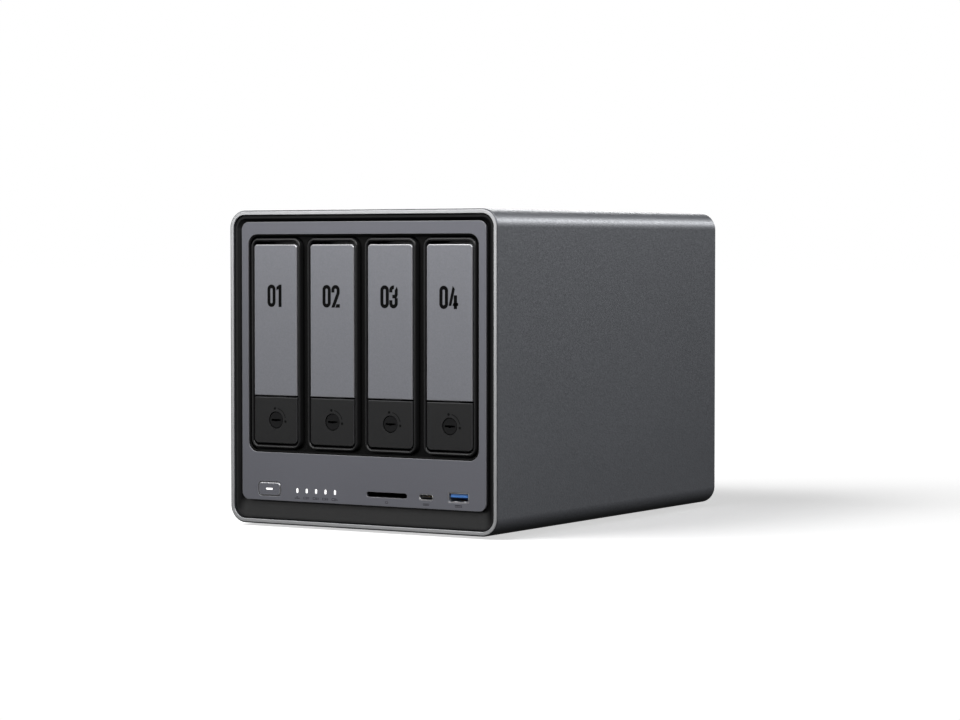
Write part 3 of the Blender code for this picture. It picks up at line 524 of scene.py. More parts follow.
CONTROL_Z = 21.2
USB_A_Z = 21.8
WINDOW = (0.0, 103.6, 76.7, 61.5, 6.0)
BUTTON = node_shape("power_button", 2.0)
USB_C = (middle_of("usb_c_port").x, CONTROL_Z, 4.45, 1.6, 1.5)
USB_A = (middle_of("usb_a_port").x, USB_A_Z, 6.55, 2.7, 0.5)
CARD_SLOT = (middle_of("card_reader").x, CONTROL_Z, 13.35, 1.40, 1.3)
LIGHTS = [(middle_of("light_pipe").x + along, CONTROL_Z, 0.65, 1.25, 0.6) for along in row(5, 6.4)]


def make_shell():
    wall = 2.6
    profile = [(0.0, BACK - 0.6), (0.0, FRONT + 1.0)] + fillet(0.0, FRONT, 0.9, steps=4)
    rim_start = len(profile) - 3
    profile += fillet(wall, FRONT, 0.25, "out")
    rim_end = len(profile) - 2
    profile += [(wall, BACK - 0.3), (wall - 0.2, BACK), (0.5, BACK), (0.15, BACK - 0.2)]
    slots = [1 if rim_start <= index <= rim_end else 0 for index in range(len(profile))]
    bm = bmesh.new()
    add_ring(bm, node_shape("outer_shell", 10.0), profile, slots, 16)
    shell = piece("shell_sleeve", bm, [SHELL, RIM], ["outer_shell"])
    hatch_low, hatch_high = box("bottom_cover")
    clearance = Vector((0.3, 0.3, 4.0))
    hatch = bmesh.new()
    add_box(hatch, hatch_low - clearance, hatch_high + clearance)
    cut_with(shell, hatch)


def make_bezel():
    """The funnel between the rim and the panel: a flat lip, then a slope down to the panel's edge, with
    a flange behind that edge."""
    low, high = box("front_bezel")
    outer = node_shape("front_bezel", 7.1)
    inner = node_shape("front_panel", 4.6, 0.10)
    edge = outline(outer, 0.3)
    lip = outline(node_shape("front_bezel", 5.6, -1.7))
    panel = outline(inner)
    flange = outline(inner, 1.8)
    loops = [
        (outline(outer), high.y),
        (outline(outer), low.y + 0.5),
        (edge, low.y + 0.2),
        (between(edge, lip, 0.9), low.y + 0.25),
        (between(lip, panel, 0.06), low.y + 0.55),
        (between(lip, panel, 0.90), low.y + 2.5),
        (panel, low.y + 2.9),
        (flange, low.y + 2.9),
        (flange, low.y + 4.4),
        (panel, low.y + 4.4),
        (panel, high.y),
    ]
    bm = bmesh.new()
    rings = [add_loop(bm, points, y) for points, y in loops]
    for index, ring in enumerate(rings):
        bridge(bm, ring, rings[(index + 1) % len(rings)])
    piece("bezel_funnel", bm, [BEZEL], ["front_bezel"], sharp=25.0)


def make_panel():
    """The thin grey face, and the dark carrier sheet behind it."""
    low, high = box("front_panel")
    face_back = low.y + 1.0
    radius = 4.5
    holes = [grown(BUTTON, 0.30), grown(USB_C, 0.12), grown(USB_A, 0.12), CARD_SLOT]
    holes += [grown(light, 0.05) for light in LIGHTS]
    bm = bmesh.new()
    face = node_shape("front_panel", radius)
    # The outer edge and the holes' edges take the lighter grey: a painted highlight.
    add_sheet(bm, face, [WINDOW, *holes], low.y, face_back, 0.22, 0.16, (0, 1, 1))
    carrier = node_shape("front_panel", radius, -0.4)
    carrier_holes = [grown(WINDOW, 0.1)] + [grown(hole, 0.3) for hole in holes]
    add_sheet(bm, carrier, carrier_holes, face_back + 0.02, high.y, 0.05, 0.05, (2, 2, 2))
    piece("panel_face", bm, [PANEL, PANEL_EDGE_HIGHLIGHT, BEZEL], ["front_panel"])


def make_bay_frame():
    """The black bars round and between the trays, with a raised lip just inside the panel's window."""
    low, high = box("bay_frame")
    holes = [node_shape(f"tray_{bay}", 5.3, 0.3) for bay in BAYS]
    bm = bmesh.new()
    add_sheet(bm, node_shape("bay_frame", 5.0), holes, low.y, high.y, 0.2, 0.5)
    panel_front = box("front_panel")[0].y
    lip_width = 1.05
    profile = [(0.0, low.y + 0.2), (0.0, panel_front + 0.9)] + fillet(0.0, panel_front + 0.45, 0.3)
    profile += fillet(lip_width, panel_front + 0.55, 0.3, "out") + [(lip_width, low.y + 0.2)]
    add_ring(bm, grown(WINDOW, -0.12), profile)
    # The black is darker than the plastic: painted shade between the trays.
    piece("bay_surround", bm, [BAY_BLACK_AND_SHADE], ["bay_frame"])


# ---------------------------------------------------------------- drive trays


def tray_mesh():
    """One tray with its middle at X 0, shared by the four bays."""
    low, high = box("tray_1")
    _, z, half_x, half_z, corner = node_shape("tray_1", 5.0)
    rim = 1.8
    bulkhead_front = FRONT + 12.5
    bulkhead_back = FRONT + 15.0
    bm = bmesh.new()
    profile = [(0.0, bulkhead_back - 0.4), (0.0, low.y + 1.1)] + fillet(0.0, low.y, 0.85, steps=5)
    profile += fillet(rim, low.y, 0.75, "out", 5) + [(rim, bulkhead_back - 0.4)]
    add_ring(bm, (0.0, z, half_x, half_z, corner), profile)
    vents = [(side * 6.5, low.z + 38 + rise, 4.5, 3.6, 1.5) for rise in range(0, 72, 12) for side in (-1, 1)]
    stem_hole = (0.0, low.z + 8.6, 4.4, 2.4, 0.5)
    bulkhead = (0.0, z, half_x - 0.5, half_z - 0.5, 4.5)
    add_sheet(bm, bulkhead, [*vents, stem_hole], bulkhead_front, bulkhead_back, 0.1, 0.3)
    half = 16.7
    start = bulkhead_back - 0.2
    for rail_low, rail_high, rib_z in ((low.z + 2.1, 52.6, 52.625), (154.8, high.z - 2.1, 154.775)):
        add_box(bm, (-half, start, rail_low), (half, high.y, rail_high), 0.8)
        for y in range(-100, 40, 20):
            add_bar(bm, 0.0, rib_z, half - 2.0, 0.325, y, y + 1.2, 0.1)
    add_side_plate(bm, z, -half, start, high.y)
    return smooth_mesh("tray_body", bm, [TRAY_BLACK])


def add_side_plate(bm, z, x, start, end):
    """The tray's side: a plate with three windows, made facing the front and turned to face left."""
    length = end - start
    thickness = 1.7
    windows = [(along, z, length / 7, 38.0, 4.0) for along in row(3, length / 3)]
    plate = bmesh.new()
    add_sheet(plate, (0.0, z, length / 2, 51.5, 1.0), windows, 0.0, thickness, 0.2, 0.3)
    turn = Matrix.Rotation(math.pi / 2, 4, "Z") @ Matrix.Diagonal((-1.0, 1.0, 1.0, 1.0))
    place = Matrix.Translation((x + thickness, (start + end) / 2, 0.0))
    bmesh.ops.transform(plate, matrix=place @ turn, verts=plate.verts)
    scrap = bpy.data.meshes.new("scrap")
    plate.to_mesh(scrap)
    plate.free()
    bm.from_mesh(scrap)
    bpy.data.meshes.remove(scrap)


def make_handle(bay, x):
    """The grey plate, rounded at its top corners and square at the bottom, with its hinge boss."""
    low, high = box(f"tray_handle_{bay}")
    half, corner = 14.65, 2.0
    back = low.y + 2.6

    def plate_outline(inset):
        reach = half - inset
        radius = max(corner - inset, 0.1)
        small = max(0.3 - inset * 0.5, 0.05)
        points = []
        for side, start in ((1, 0), (-1, 90)):
            points += arc(side * (reach - radius), high.z - inset - radius, radius, start, 90, 8)
        for side, start in ((-1, 180), (1, 270)):
            points += arc(side * (reach - small), low.z + inset + small, small, start, 90, 2)
        return points

    bm = bmesh.new()
    pairs = list(reversed(fillet(0.0, low.y, 0.45))) + [(0.0, back - 0.2), (0.2, back)]
    loops = [add_loop(bm, plate_outline(inset), y) for inset, y in pairs]
    for index in range(len(loops) - 1):
        for face in bridge(bm, loops[index], loops[index + 1]):
            # The top edge takes the bright painted highlight, and the sides and bottom a fainter painted
            # highlight.
            edge_slot = 1 if face.calc_center_median().z > high.z - corner else 4
            face.material_index = edge_slot if index <= FILLET_STEPS else 0
    cap(bm, loops)
    hinge_y, hinge_z = FRONT + 4.3, 155.6
    boss = 1.6
    add_bar(bm, 0.0, hinge_z, half - 0.4, boss, back - 0.3, hinge_y + boss, 0.4, 2)
    add_turned(bm, (0.0, hinge_y, hinge_z), round_end(1.3, -16.0, 16.0, 0.3), "X", 20, 3)
    for rib in (-9.0, 0.0, 9.0):
        add_box(bm, (rib - 0.6, back - 0.3, low.z + 6.0), (rib + 0.6, back + 1.0, hinge_z - boss), 0.2, 2)
    materials = [HANDLE, EDGE_HIGHLIGHT, TRAY_BLACK, BRIGHT_SCREW, HANDLE_EDGE_HIGHLIGHT]
    replaced = [f"tray_handle_{bay}"]
    piece(f"handle_plate_{bay}", bm, materials, replaced, f"handle_{bay}_body", x=x)


def make_latch(bay, x):
    """The press plate with its lock bore, guide stem, lip and the engraved turn marks."""
    low, high = box(f"tray_latch_{bay}")
    lock_z = middle_of(f"tray_lock_{bay}").z
    body = f"latch_{bay}_body"
    back = low.y + 3.3
    bottom, top = low.z - 0.8, 73.4
    shape = (0.0, (bottom + top) / 2, 14.7, (top - bottom) / 2, (0.45, 2.6))
    bore = (0.0, lock_z, 4.8, 4.8, 4.79)
    bm = bmesh.new()
    # The plate's outer edge takes the lighter plastic: a painted highlight.
    add_sheet(bm, shape, [bore], low.y, back, 0.40, 0.06, (0, 1, 0))
    add_bar(bm, 0.0, 53.0, 4.0, 2.0, back - 0.3, FRONT + 13.2, 0.4)
    add_box(bm, (-5.0, back - 0.2, 72.0), (5.0, back + 1.4, high.z), 0.3)
    add_box(bm, (-5.0, low.y + 2.7, 72.6), (5.0, back + 0.2, high.z), 0.2)
    piece(f"latch_plate_{bay}", bm, [LATCH, LATCH_EDGE_HIGHLIGHT], [f"tray_latch_{bay}"], body, x=x)
    marks = bmesh.new()
    add_turn_marks(marks, lock_z, low.y - 0.03, low.y + 0.05)
    piece(f"lock_marks_{bay}", marks, [INK], body=body, x=x)


def add_turn_marks(bm, z, front, back):
    """Two dots and the quarter arc between them, as thin ink on the plate."""
    for dot_x, dot_z in arc(0.0, z, 6.6, 96.0, -102.0, 1):
        add_turned(bm, (dot_x, front, dot_z), [(0.75, 0.0), (0.75, back - front)], "Y", 16)
    band = arc(0.0, z, 6.85, 12.0, 66.0, 14) + arc(0.0, z, 6.45, 78.0, -66.0, 14)
    add_prism(bm, band, front, back)


def make_lock(bay, x):
    """A key barrel with a flat face and a plain keyway."""
    low, high = box(f"tray_lock_{bay}")
    z = (low.z + high.z) / 2
    radius = (high.x - low.x) / 2
    depth = high.y - low.y
    rings = [(radius * 0.50, 0.20), (radius * 0.90, 0.12), (radius * 0.96, 0.15), (radius, 0.35)]
    rings += [(radius, depth - 0.3), (radius - 0.3, depth)]
    bm = bmesh.new()
    add_turned(bm, (0.0, low.y, z), rings, "Y", 40)
    replaced = [f"tray_lock_{bay}"]
    lock = piece(f"lock_barrel_{bay}", bm, [LOCK], replaced, f"lock_{bay}_body", x=x)
    keyway = [(-3.3, -0.5), (-1.4, -0.5), (-1.2, -0.8), (0.4, -0.8)]
    keyway += [(0.6, -0.5), (3.3, -0.5), (3.3, 0.55), (-3.3, 0.55)]
    cutter = bmesh.new()
    add_prism(cutter, [(x + a, z + b) for a, b in keyway], low.y - 1.0, low.y + 5.0)
    cut_with(lock, cutter)


# ---------------------------------------------------------------- numbers

DIGIT_HALF = (2.8, 6.3)
STROKE = 2.05
NUMBER_Z = 130.5
# How far the zero and the second digit stand from the handle's middle, for each bay
ZERO_X = (-2.7, -3.55, -3.45, -3.6)
DIGIT_X = (2.45, 2.45, 2.40, 2.60)


def rounded_path(points, radius, steps=8):
    """A polyline with its inner corners rounded."""
    path = [Vector(points[0])]
    for before, corner, after in zip(points, points[1:], points[2:]):
        corner = Vector(corner)
        into = (Vector(before) - corner).normalized()
        out = (Vector(after) - corner).normalized()
        half = math.acos(max(-1.0, min(1.0, into.dot(out)))) / 2
        reach = radius / math.tan(half)
        centre = corner + (into + out).normalized() * (radius / math.sin(half))
        start, end = corner + into * reach, corner + out * reach
        first = math.atan2(start.y - centre.y, start.x - centre.x)
        sweep = math.atan2(end.y - centre.y, end.x - centre.x) - first
        sweep = (sweep + math.pi) % (2 * math.pi) - math.pi
        for step in range(steps + 1):
            angle = first + sweep * step / steps
            path.append(centre + Vector((math.cos(angle), math.sin(angle))) * radius)
    path.append(Vector(points[-1]))
    return path


def stroke_outline(points, radius, width, flat_end=False):
    """The outline of a band of even width along a path. A flat end is cut level."""
    path = rounded_path(points, radius)
    sides = ([], [])
    for index, point in enumerate(path):
        before = path[max(index - 1, 0)]
        after = path[min(index + 1, len(path) - 1)]
        along = (after - before).normalized()
        across = Vector((-along.y, along.x)) * width / 2
        if flat_end and index == len(path) - 1:
            across = Vector((math.copysign(width / 2 / abs(along.y), across.x), 0.0))
        sides[0].append(tuple(point + across))
        sides[1].append(tuple(point - across))
    return sides[0] + sides[1][::-1]


def digit_outlines(digit):
    """The closed outlines, round (0, 0), of one condensed digit cut like a stencil."""
    half_x, half_z = DIGIT_HALF
    x = half_x - STROKE / 2
    z = half_z - STROKE / 2
    turn = x * 0.995
    if digit == 1:
        foot = [(-0.25, -half_z), (1.8, -half_z), (1.8, half_z)]
        flag = [(0.35, half_z), (-1.75, 5.0), (-1.75, 3.0), (-0.25, 3.8)]
        return [foot + flag]
    if digit == 2:
        hook = stroke_outline([(-x, 2.1), (-x, z), (x, z), (x, 1.8), (-1.75, -half_z)], turn, STROKE, True)
        return [hook, [(-0.2, -half_z), (2.9, -half_z), (2.9, -4.3), (0.6, -4.3)]]
    if digit == 3:
        hook = stroke_outline([(-x, 2.4), (-x, z), (0.35, z)], turn, STROKE)
        waist = [(-0.8, -0.8), (1.9, -0.8), (2.3, 0.1), (2.8, 1.1), (2.8, 4.1), (2.1, 5.6)]
        waist += [(0.8, 3.6), (0.8, 1.5), (0.5, 1.15), (-0.8, 1.15)]
        bowl = stroke_outline([(x, -0.65), (x, -z), (-x, -z), (-x, -1.8)], turn, STROKE)
        return [hook, waist, bowl]
    slant = [(-3.1, -4.6), (-1.3, -4.6), (0.95, 4.5), (-0.45, half_z)]
    post = [(0.35, -half_z), (2.2, -half_z), (2.35, -5.9), (2.35, 0.9)]
    post += [(2.1, 1.2), (0.5, 1.2), (0.25, 0.9), (0.25, -5.9)]
    bar = [(-0.6, -4.6), (3.1, -4.6), (3.1, -2.95), (-0.05, -2.95)]
    return [slant, post, bar]


def add_digit(bm, digit, x, z, scale, front, back):
    """One digit at a place. A zero is a ring."""
    if digit == 0:
        half_x, half_z = DIGIT_HALF
        shape = (x, z, half_x * scale, half_z * scale, (half_x - 0.05) * scale)
        add_tube(bm, shape, STROKE * scale, front, back, steps=CORNER_STEPS)
        return
    for points in digit_outlines(digit):
        add_prism(bm, [(x + a * scale, z + b * scale) for a, b in points], front, back)


def make_number(bay, x):
    """The bay's two-digit number, printed on the handle plate."""
    plate = box(f"tray_handle_{bay}")[0].y
    depth = (plate - 0.03, plate + 0.10)
    bm = bmesh.new()
    add_digit(bm, 0, ZERO_X[bay - 1], NUMBER_Z, 1.0, *depth)
    add_digit(bm, bay, DIGIT_X[bay - 1], NUMBER_Z, 1.0, *depth)
    piece(f"handle_number_{bay}", bm, [INK], body=f"handle_{bay}_body", x=x)


def make_trays():
    body = tray_mesh()
    for bay in BAYS:
        x = middle_of(f"tray_{bay}").x
        mount_piece(f"tray_body_{bay}", body, [f"tray_{bay}"], f"tray_{bay}_body", x)
        make_handle(bay, x)
        make_number(bay, x)
        make_latch(bay, x)
        make_lock(bay, x)


# ---------------------------------------------------------------- front controls and sockets


def make_button():
    low, high = box("power_button")
    body = "power_button_body"
    bm = bmesh.new()
    # The cap's front edge takes the bright grey: a painted highlight.
    add_slab(bm, BUTTON, low.y, high.y, 0.5, 0.1, (0, 1))
    piece("button_cap", bm, [PANEL, EDGE_HIGHLIGHT], ["power_button"], body)
    bar = bmesh.new()
    add_slab(bar, (*BUTTON[:2], 2.25, 0.50, 0.35), low.y - 0.03, low.y + 0.5, 0.02, 0.02)
    piece("button_light", bar, [LIGHT], body=body)


def make_lights():
    low, high = box("light_pipe")
    bm = bmesh.new()
    for light in LIGHTS:
        add_slab(bm, light, low.y, high.y - 2.2, 0.15, 0.05, steps=6)
    add_box(bm, (low.x, high.y - 2.4, low.z), high, 0.3, 1)
    piece("status_lights", bm, [LIGHT, LENS], ["light_pipe"])


def make_card_reader():
    low, high = box("card_reader")
    x, z = CARD_SLOT[:2]
    face = node_shape("card_reader", 0.4)
    bm = bmesh.new()
    add_sheet(bm, face, [(x, z, 12.9, 1.35, 0.2)], low.y, high.y - 2.0, 0.1, 0.15)
    add_slab(bm, face, high.y - 1.99, high.y, 0.2, 0.2, (1, 1))
    for along in row(9, 2.3):
        add_bar(bm, x + along, z + 1.175, 0.4, 0.125, low.y + 9.0, low.y + 16.0, 0.05, 2)
    piece("card_slot_body", bm, [INSULATOR, SOCKET, GOLD], ["card_reader"])


def add_sleeve(bm, shape, wall, front, back):
    """A thin open tube with a softly rounded end."""
    soft = 0.1
    profile = [(0.0, back), (0.0, front + soft), (soft, front)]
    profile += [(wall - soft, front), (wall, front + soft), (wall, back)]
    add_ring(bm, shape, profile, steps=6)


def make_usb_c():
    low, high = box("usb_c_port")
    x, z = USB_C[:2]
    bm = bmesh.new()
    add_sleeve(bm, (x, z, 4.45, 1.6, 1.55), 0.32, low.y, high.y - 2.0)
    add_slab(bm, (x, z, 4.3, 1.45, 1.4), high.y - 4.0, high.y, 0.1, 0.1, (1, 1))
    add_bar(bm, x, z, 3.3, 0.35, low.y + 1.1, high.y - 3.5, 0.12, 1)
    for face in (z - 0.36, z + 0.36):
        for along in row(12, 0.5):
            add_bar(bm, x + along, face, 0.12, 0.04, low.y + 1.7, low.y + 5.0, 0.0, 2)
    piece("usb_c_socket", bm, [SOCKET, INSULATOR, GOLD], ["usb_c_port"])


def make_usb_a():
    low, high = box("usb_a_port")
    x, z = USB_A[:2]
    bm = bmesh.new()
    add_sleeve(bm, USB_A, 0.42, low.y, high.y - 1.0)
    add_bar(bm, x, z, 6.2, 2.4, high.y - 4.0, high.y, 0.2, 1)
    add_bar(bm, x, z + 1.025, 5.6, 0.975, low.y + 0.9, high.y - 3.0, 0.25, 1)
    for along in row(4, 2.4):
        add_bar(bm, x + along, z + 0.025, 0.6, 0.075, low.y + 1.6, low.y + 9.0, 0.03, 2)
    for spring in (-3.0, 3.0):
        add_bar(bm, x + spring, z - 2.25, 1.1, 0.15, low.y + 2.0, low.y + 8.0, 0.1)
    piece("usb_a_socket", bm, [SOCKET, BLUE, GOLD], ["usb_a_port"])


def add_network_mark(bm, x, z, depth):
    """A small pictogram of one square over three."""
    for dx, dz in ((-1.2, -0.3), (0.0, -0.3), (1.2, -0.3), (0.0, 0.45)):
        add_tube(bm, (x + dx, z + dz, 0.42, 0.26, 0.05), 0.15, *depth)


def make_panel_marks():
    """Small generic pictograms under the lights and the sockets: drives with digits, cards and plugs."""
    front = box("front_panel")[0].y
    depth = (front - 0.02, front + 0.05)
    z = 17.2
    line = 0.2
    bm = bmesh.new()
    add_network_mark(bm, LIGHTS[0][0], z, depth)
    for number, light in enumerate(LIGHTS[1:], 1):
        x = light[0]
        add_tube(bm, (x - 0.7, z, 1.4, 0.60, 0.15), line, *depth)
        add_tube(bm, (x - 0.1, z, 0.25, 0.22, 0.05), 0.12, *depth)
        add_digit(bm, number, x + 1.4, z, 0.10, *depth)
    add_tube(bm, (CARD_SLOT[0], z, 0.9, 0.55, 0.1), line, *depth)
    add_tube(bm, (USB_C[0], z, 2.0, 0.55, 0.5), line, *depth)
    add_tube(bm, (USB_C[0], z, 1.2, 0.16, 0.05), 0.1, *depth)
    add_tube(bm, (USB_A[0], z, 2.2, 0.60, 0.1), line, *depth)
    add_tube(bm, (USB_A[0], z + 0.15, 1.6, 0.18, 0.05), 0.1, *depth)
    piece("panel_marks", bm, [SMALL_INK])


def make_front_controls():
    make_button()
    make_lights()
    make_card_reader()
    make_usb_c()
    make_usb_a()
    make_panel_marks()


# ---------------------------------------------------------------- rear panel, fan and filter

REAR_SOCKETS = ("power_inlet", "video_port", "rear_usb_stack", "lan_port_1", "lan_port_2")
FAN_MIDDLE = middle_of("fan_rotor")
FAN_BORE = 66.5
FAN_HOLE = 64.0


def facing_rear(bm):
    """Turns shapes that were made facing the front, at the negative of their Y, to face the rear."""
    for vert in bm.verts:
        vert.co.y = -vert.co.y


def make_rear_panel():
    low, high = box("rear_panel")
    reset = middle_of("reset_button")
    lock_slot = (74.0, 19.0, 3.5, 1.5, 1.4)
    holes = [round_shape(FAN_MIDDLE.x, FAN_MIDDLE.z, FAN_HOLE), round_shape(reset.x, reset.z, 1.5), lock_slot]
    holes += [node_shape(node, 0.4, 0.3) for node in REAR_SOCKETS]
    bm = bmesh.new()
    # The outer edge and the holes' edges take the lighter grey: a painted highlight.
    add_sheet(bm, node_shape("rear_panel", 7.1), holes, -high.y, -low.y, 0.30, 0.15, (0, 1, 1))
    facing_rear(bm)
    sheet = piece("rear_sheet", bm, [REAR_METAL, PANEL_EDGE_HIGHLIGHT], ["rear_panel"])
    screws = bmesh.new()
    for x in (-80.0, 80.0):
        for z in (33.0, 103.5, 170.0):
            add_screw(screws, (x, high.y, z), 2.4, "Y", 1)
    return [sheet, piece("rear_screws", screws, [SCREW]), make_rear_marks(-high.y)]


def make_rear_marks(face):
    """Small generic pictograms over the rear sockets."""
    line = 0.25
    depth = (face - 0.02, face + 0.05)
    bm = bmesh.new()
    for node in REAR_SOCKETS:
        x = middle_of(node).x
        z = box(node)[1].z + 2.2
        if node == "power_inlet":
            add_tube(bm, round_shape(x, z, 0.9), line, *depth, steps=CORNER_STEPS)
        elif node.startswith("lan"):
            add_network_mark(bm, x, z, depth)
        else:
            add_tube(bm, (x, z, 1.9, 0.6, 0.1), line, *depth)
    facing_rear(bm)
    return piece("rear_marks", bm, [LENS])


def make_filter():
    """The pull-off dust filter: a rounded frame with cross bars and a grip, over a fine wire mesh."""
    low, high = box("dust_filter")
    shape = node_shape("dust_filter", 8.0)
    x, z, half, half_z, _ = shape
    body = "dust_filter_body"
    border = 5.5
    front, back = -high.y, -low.y
    bm = bmesh.new()
    profile = [(0.0, back)] + fillet(0.0, front, 0.7) + fillet(border, front, 0.4, "out") + [(border, back)]
    add_ring(bm, shape, profile)
    reach = half - border + 0.3
    for bar in (-half / 3, half / 3):
        add_bar(bm, x + bar, z, 0.8, reach, front + 0.5, back, 0.3)
        add_bar(bm, x, z + bar, reach, 0.8, front + 0.6, back, 0.3)
    for along in row(7, 2.2):
        add_bar(bm, x + along, z + half_z - border / 2, 0.5, 1.7, front - 0.35, front + 0.3, 0.3)
    facing_rear(bm)
    surround = piece("filter_frame", bm, [TRAY_BLACK], ["dust_filter"], body)
    mesh = bmesh.new()
    pitch, wire = 1.5, 0.2
    reach = half - border + 0.6
    for at in row(2 * int(reach / pitch) + 1, pitch):
        add_bar(mesh, x + at, z, wire, reach, low.y + 0.5, low.y + 0.9)
        add_bar(mesh, x, z + at, reach, wire, low.y + 0.7, low.y + 1.1)
    return [surround, piece("filter_wires", mesh, [WIRE], body=body)]


def make_fan_frame():
    """Two square flanges joined by a round duct and corner posts, with struts and a motor plate."""
    low, high = box("fan_frame")
    x, z = FAN_MIDDLE.x, FAN_MIDDLE.z
    square = node_shape("fan_frame", 4.0)
    flange = 4.0
    posts = [(x + side_x * 62.5, z + side_z * 62.5) for side_x in (-1, 1) for side_z in (-1, 1)]
    holes = [round_shape(x, z, FAN_BORE)] + [round_shape(*post, 2.2) for post in posts]
    bm = bmesh.new()
    add_sheet(bm, square, holes, -high.y, -high.y + flange, 0.4, 0.4)
    facing_rear(bm)
    add_sheet(bm, square, holes, low.y, low.y + flange, 0.4, 0.4)
    inside = (low.y + flange, high.y - flange)
    add_tube(bm, round_shape(x, z, FAN_BORE + 2.0), 2.0, *inside, steps=ROUND_STEPS)
    for post in posts:
        add_tube(bm, round_shape(*post, 4.0), 1.6, *inside, steps=5)
    plate = 22.0
    add_slab(bm, (x, z, plate, plate, plate - 0.1), high.y - 3.5, high.y - 0.2, 0.4, 0.4)
    strut_start, strut_end = plate - 1.0, FAN_BORE + 0.6
    half = (strut_end - strut_start) / 2
    for side in (-1, 1):
        middle = side * (strut_start + half)
        add_bar(bm, x + middle, z, half, 2.4, high.y - 3.0, high.y - 0.6, 0.5)
        add_bar(bm, x, z + middle, 2.4, half, high.y - 3.0, high.y - 0.6, 0.5)
    return piece("fan_housing", bm, [FAN], ["fan_frame"])


def make_fan_rotor():
    """A hub cup with nine swept and twisted blades."""
    low, high = box("fan_rotor")
    reach = (high.y - low.y) / 2
    blades = 9
    bm = bmesh.new()
    hub = [(6.0, -reach + 0.8), (7.0, -reach)] + round_end(21.0, -reach, reach, 1.2)
    add_turned(bm, FAN_MIDDLE, hub, "Y", 48)
    for blade in range(blades):
        add_blade(bm, 2 * math.pi * blade / blades)
    return piece("fan_blades", bm, [FAN], ["fan_rotor"], "fan_rotor_body")


def add_blade(bm, start):
    """One blade: sections set along the radius, each cambered, pitched and swept a little further."""
    spans, chords = 9, 7
    loops = []
    for span in range(spans + 1):
        share = span / spans
        radius = 20.5 + 42.3 * share
        pitch = math.radians(60 - 22 * share)
        chord = 18.5 + 5.0 * share
        angle = start + math.radians(24) * share ** 1.5
        loop = []
        for side in (1, -1):
            for step in range(chords + 1):
                along = (step / chords - 0.5) * side
                camber = 0.12 * chord * (1 - 4 * along * along)
                height = camber + side * 0.7 * (1 - abs(2 * along) ** 3 * 0.7)
                turn = along * chord * math.cos(pitch) - height * math.sin(pitch)
                depth = along * chord * math.sin(pitch) + height * math.cos(pitch)
                at = angle + turn / radius
                place = Vector((radius * math.cos(at), depth - 1.0, radius * math.sin(at)))
                loop.append(bm.verts.new(FAN_MIDDLE + place))
        loops.append(loop)
    for first, second in zip(loops, loops[1:]):
        bridge(bm, first, second)
    cap(bm, loops)


# ---------------------------------------------------------------- rear sockets


def socket_body(node, cavities, depth, edge=0.2):
    """A metal block open to the rear: a thick face with its cavities, and a closed back."""
    low, high = box(node)
    bm = bmesh.new()
    add_sheet(bm, node_shape(node, 0.4), cavities, -high.y, -high.y + depth, edge, 0.15)
    facing_rear(bm)
    add_box(bm, low, (high.x, high.y - depth, high.z), 0.3)
    return bm


def make_lan(number):
    """A network socket: metal face, black liner with its latch step, eight contacts and two lights."""
    node = f"lan_port_{number}"
    top, back = box(node)[1].z, box(node)[1].y
    x, z = node_shape(node, 0.4)[:2]
    half_x, half_z, depth = 5.9, 4.1, 12.5
    floor = back - depth
    bm = socket_body(node, [(x, z, half_x, half_z, 0.3)], depth)
    add_tube(bm, (x, z, half_x - 0.02, half_z - 0.02, 0.28), 0.35, back - 0.4, floor, 1)
    add_bar(bm, x, z, half_x - 0.3, half_z - 0.3, floor, floor + 0.5, 0.1, 1)
    for side in (-1, 1):
        add_bar(bm, x + side * 4.4, z - half_z + 1.0, 1.2, 0.7, floor, back - 0.8, 0.15, 1)
        add_bar(bm, x + side * 6.0, top - 1.25, 1.3, 0.65, back - 0.4, back + 0.15, 0.12, 2)
    for along in row(8, 1.02):
        add_bar(bm, x + along, z + half_z - 1.45, 0.2, 0.15, back - 9.0, back - 2.5, 0.05, 3)
    materials = [SOCKET, INSULATOR, LENS, GOLD]
    return piece(f"network_socket_{number}", bm, materials, [node])


def make_tongued(name, node, depth, rises, cavity, tongue, plastic):
    """A metal socket with a contact tongue in each cavity. The tongue is (rise, half x, half z, contacts)."""
    back = box(node)[1].y
    x, z = node_shape(node, 0.4)[:2]
    lift, half_x, half_z, contacts = tongue
    pitch = 2 * half_x / (contacts + 1)
    front = back - depth
    bm = socket_body(node, [(x, z + rise, *cavity) for rise in rises], depth)
    for rise in rises:
        middle = z + rise + lift
        add_bar(bm, x, middle, half_x, half_z, front, back - 1.0, 0.15, 1)
        for along in row(contacts, pitch):
            under = middle - half_z + 0.02
            add_bar(bm, x + along, under, pitch * 0.3, 0.08, front + 1.0, back - 1.7, 0.0, 2)
    return piece(name, bm, [SOCKET, plastic, GOLD], [node])


def make_inlet():
    """A round mains adaptor inlet: plastic block, sprung sleeve and centre pin."""
    node = "power_inlet"
    back = box(node)[1].y
    x, z = node_shape(node, 0.4)[:2]
    bore, depth = 3.9, 11.0
    floor = back - depth
    bm = socket_body(node, [round_shape(x, z, bore)], depth, 0.5)
    sleeve = [(0.0, back - 0.8), (0.25, back - 0.6), (0.25, floor), (0.0, floor)]
    add_ring(bm, round_shape(x, z, bore - 0.03), sleeve, [1] * len(sleeve), 8)
    add_turned(bm, (x, floor, z), round_end(1.2, -0.3, depth - 1.5, 0.5), "Y", 20, 1)
    return piece("adaptor_inlet", bm, [INSULATOR, SOCKET], [node])


def make_reset():
    low, high = box("reset_button")
    radius, reach = (high.x - low.x) / 2, (high.y - low.y) / 2
    dish = [(radius * 0.55, reach - 0.12), (radius * 0.15, reach - 0.18)]
    bm = bmesh.new()
    add_turned(bm, (low + high) / 2, round_end(radius, -reach, reach, 0.2) + dish, "Y", 24)
    return piece("reset_cap", bm, [INSULATOR], ["reset_button"], "reset_button_body")


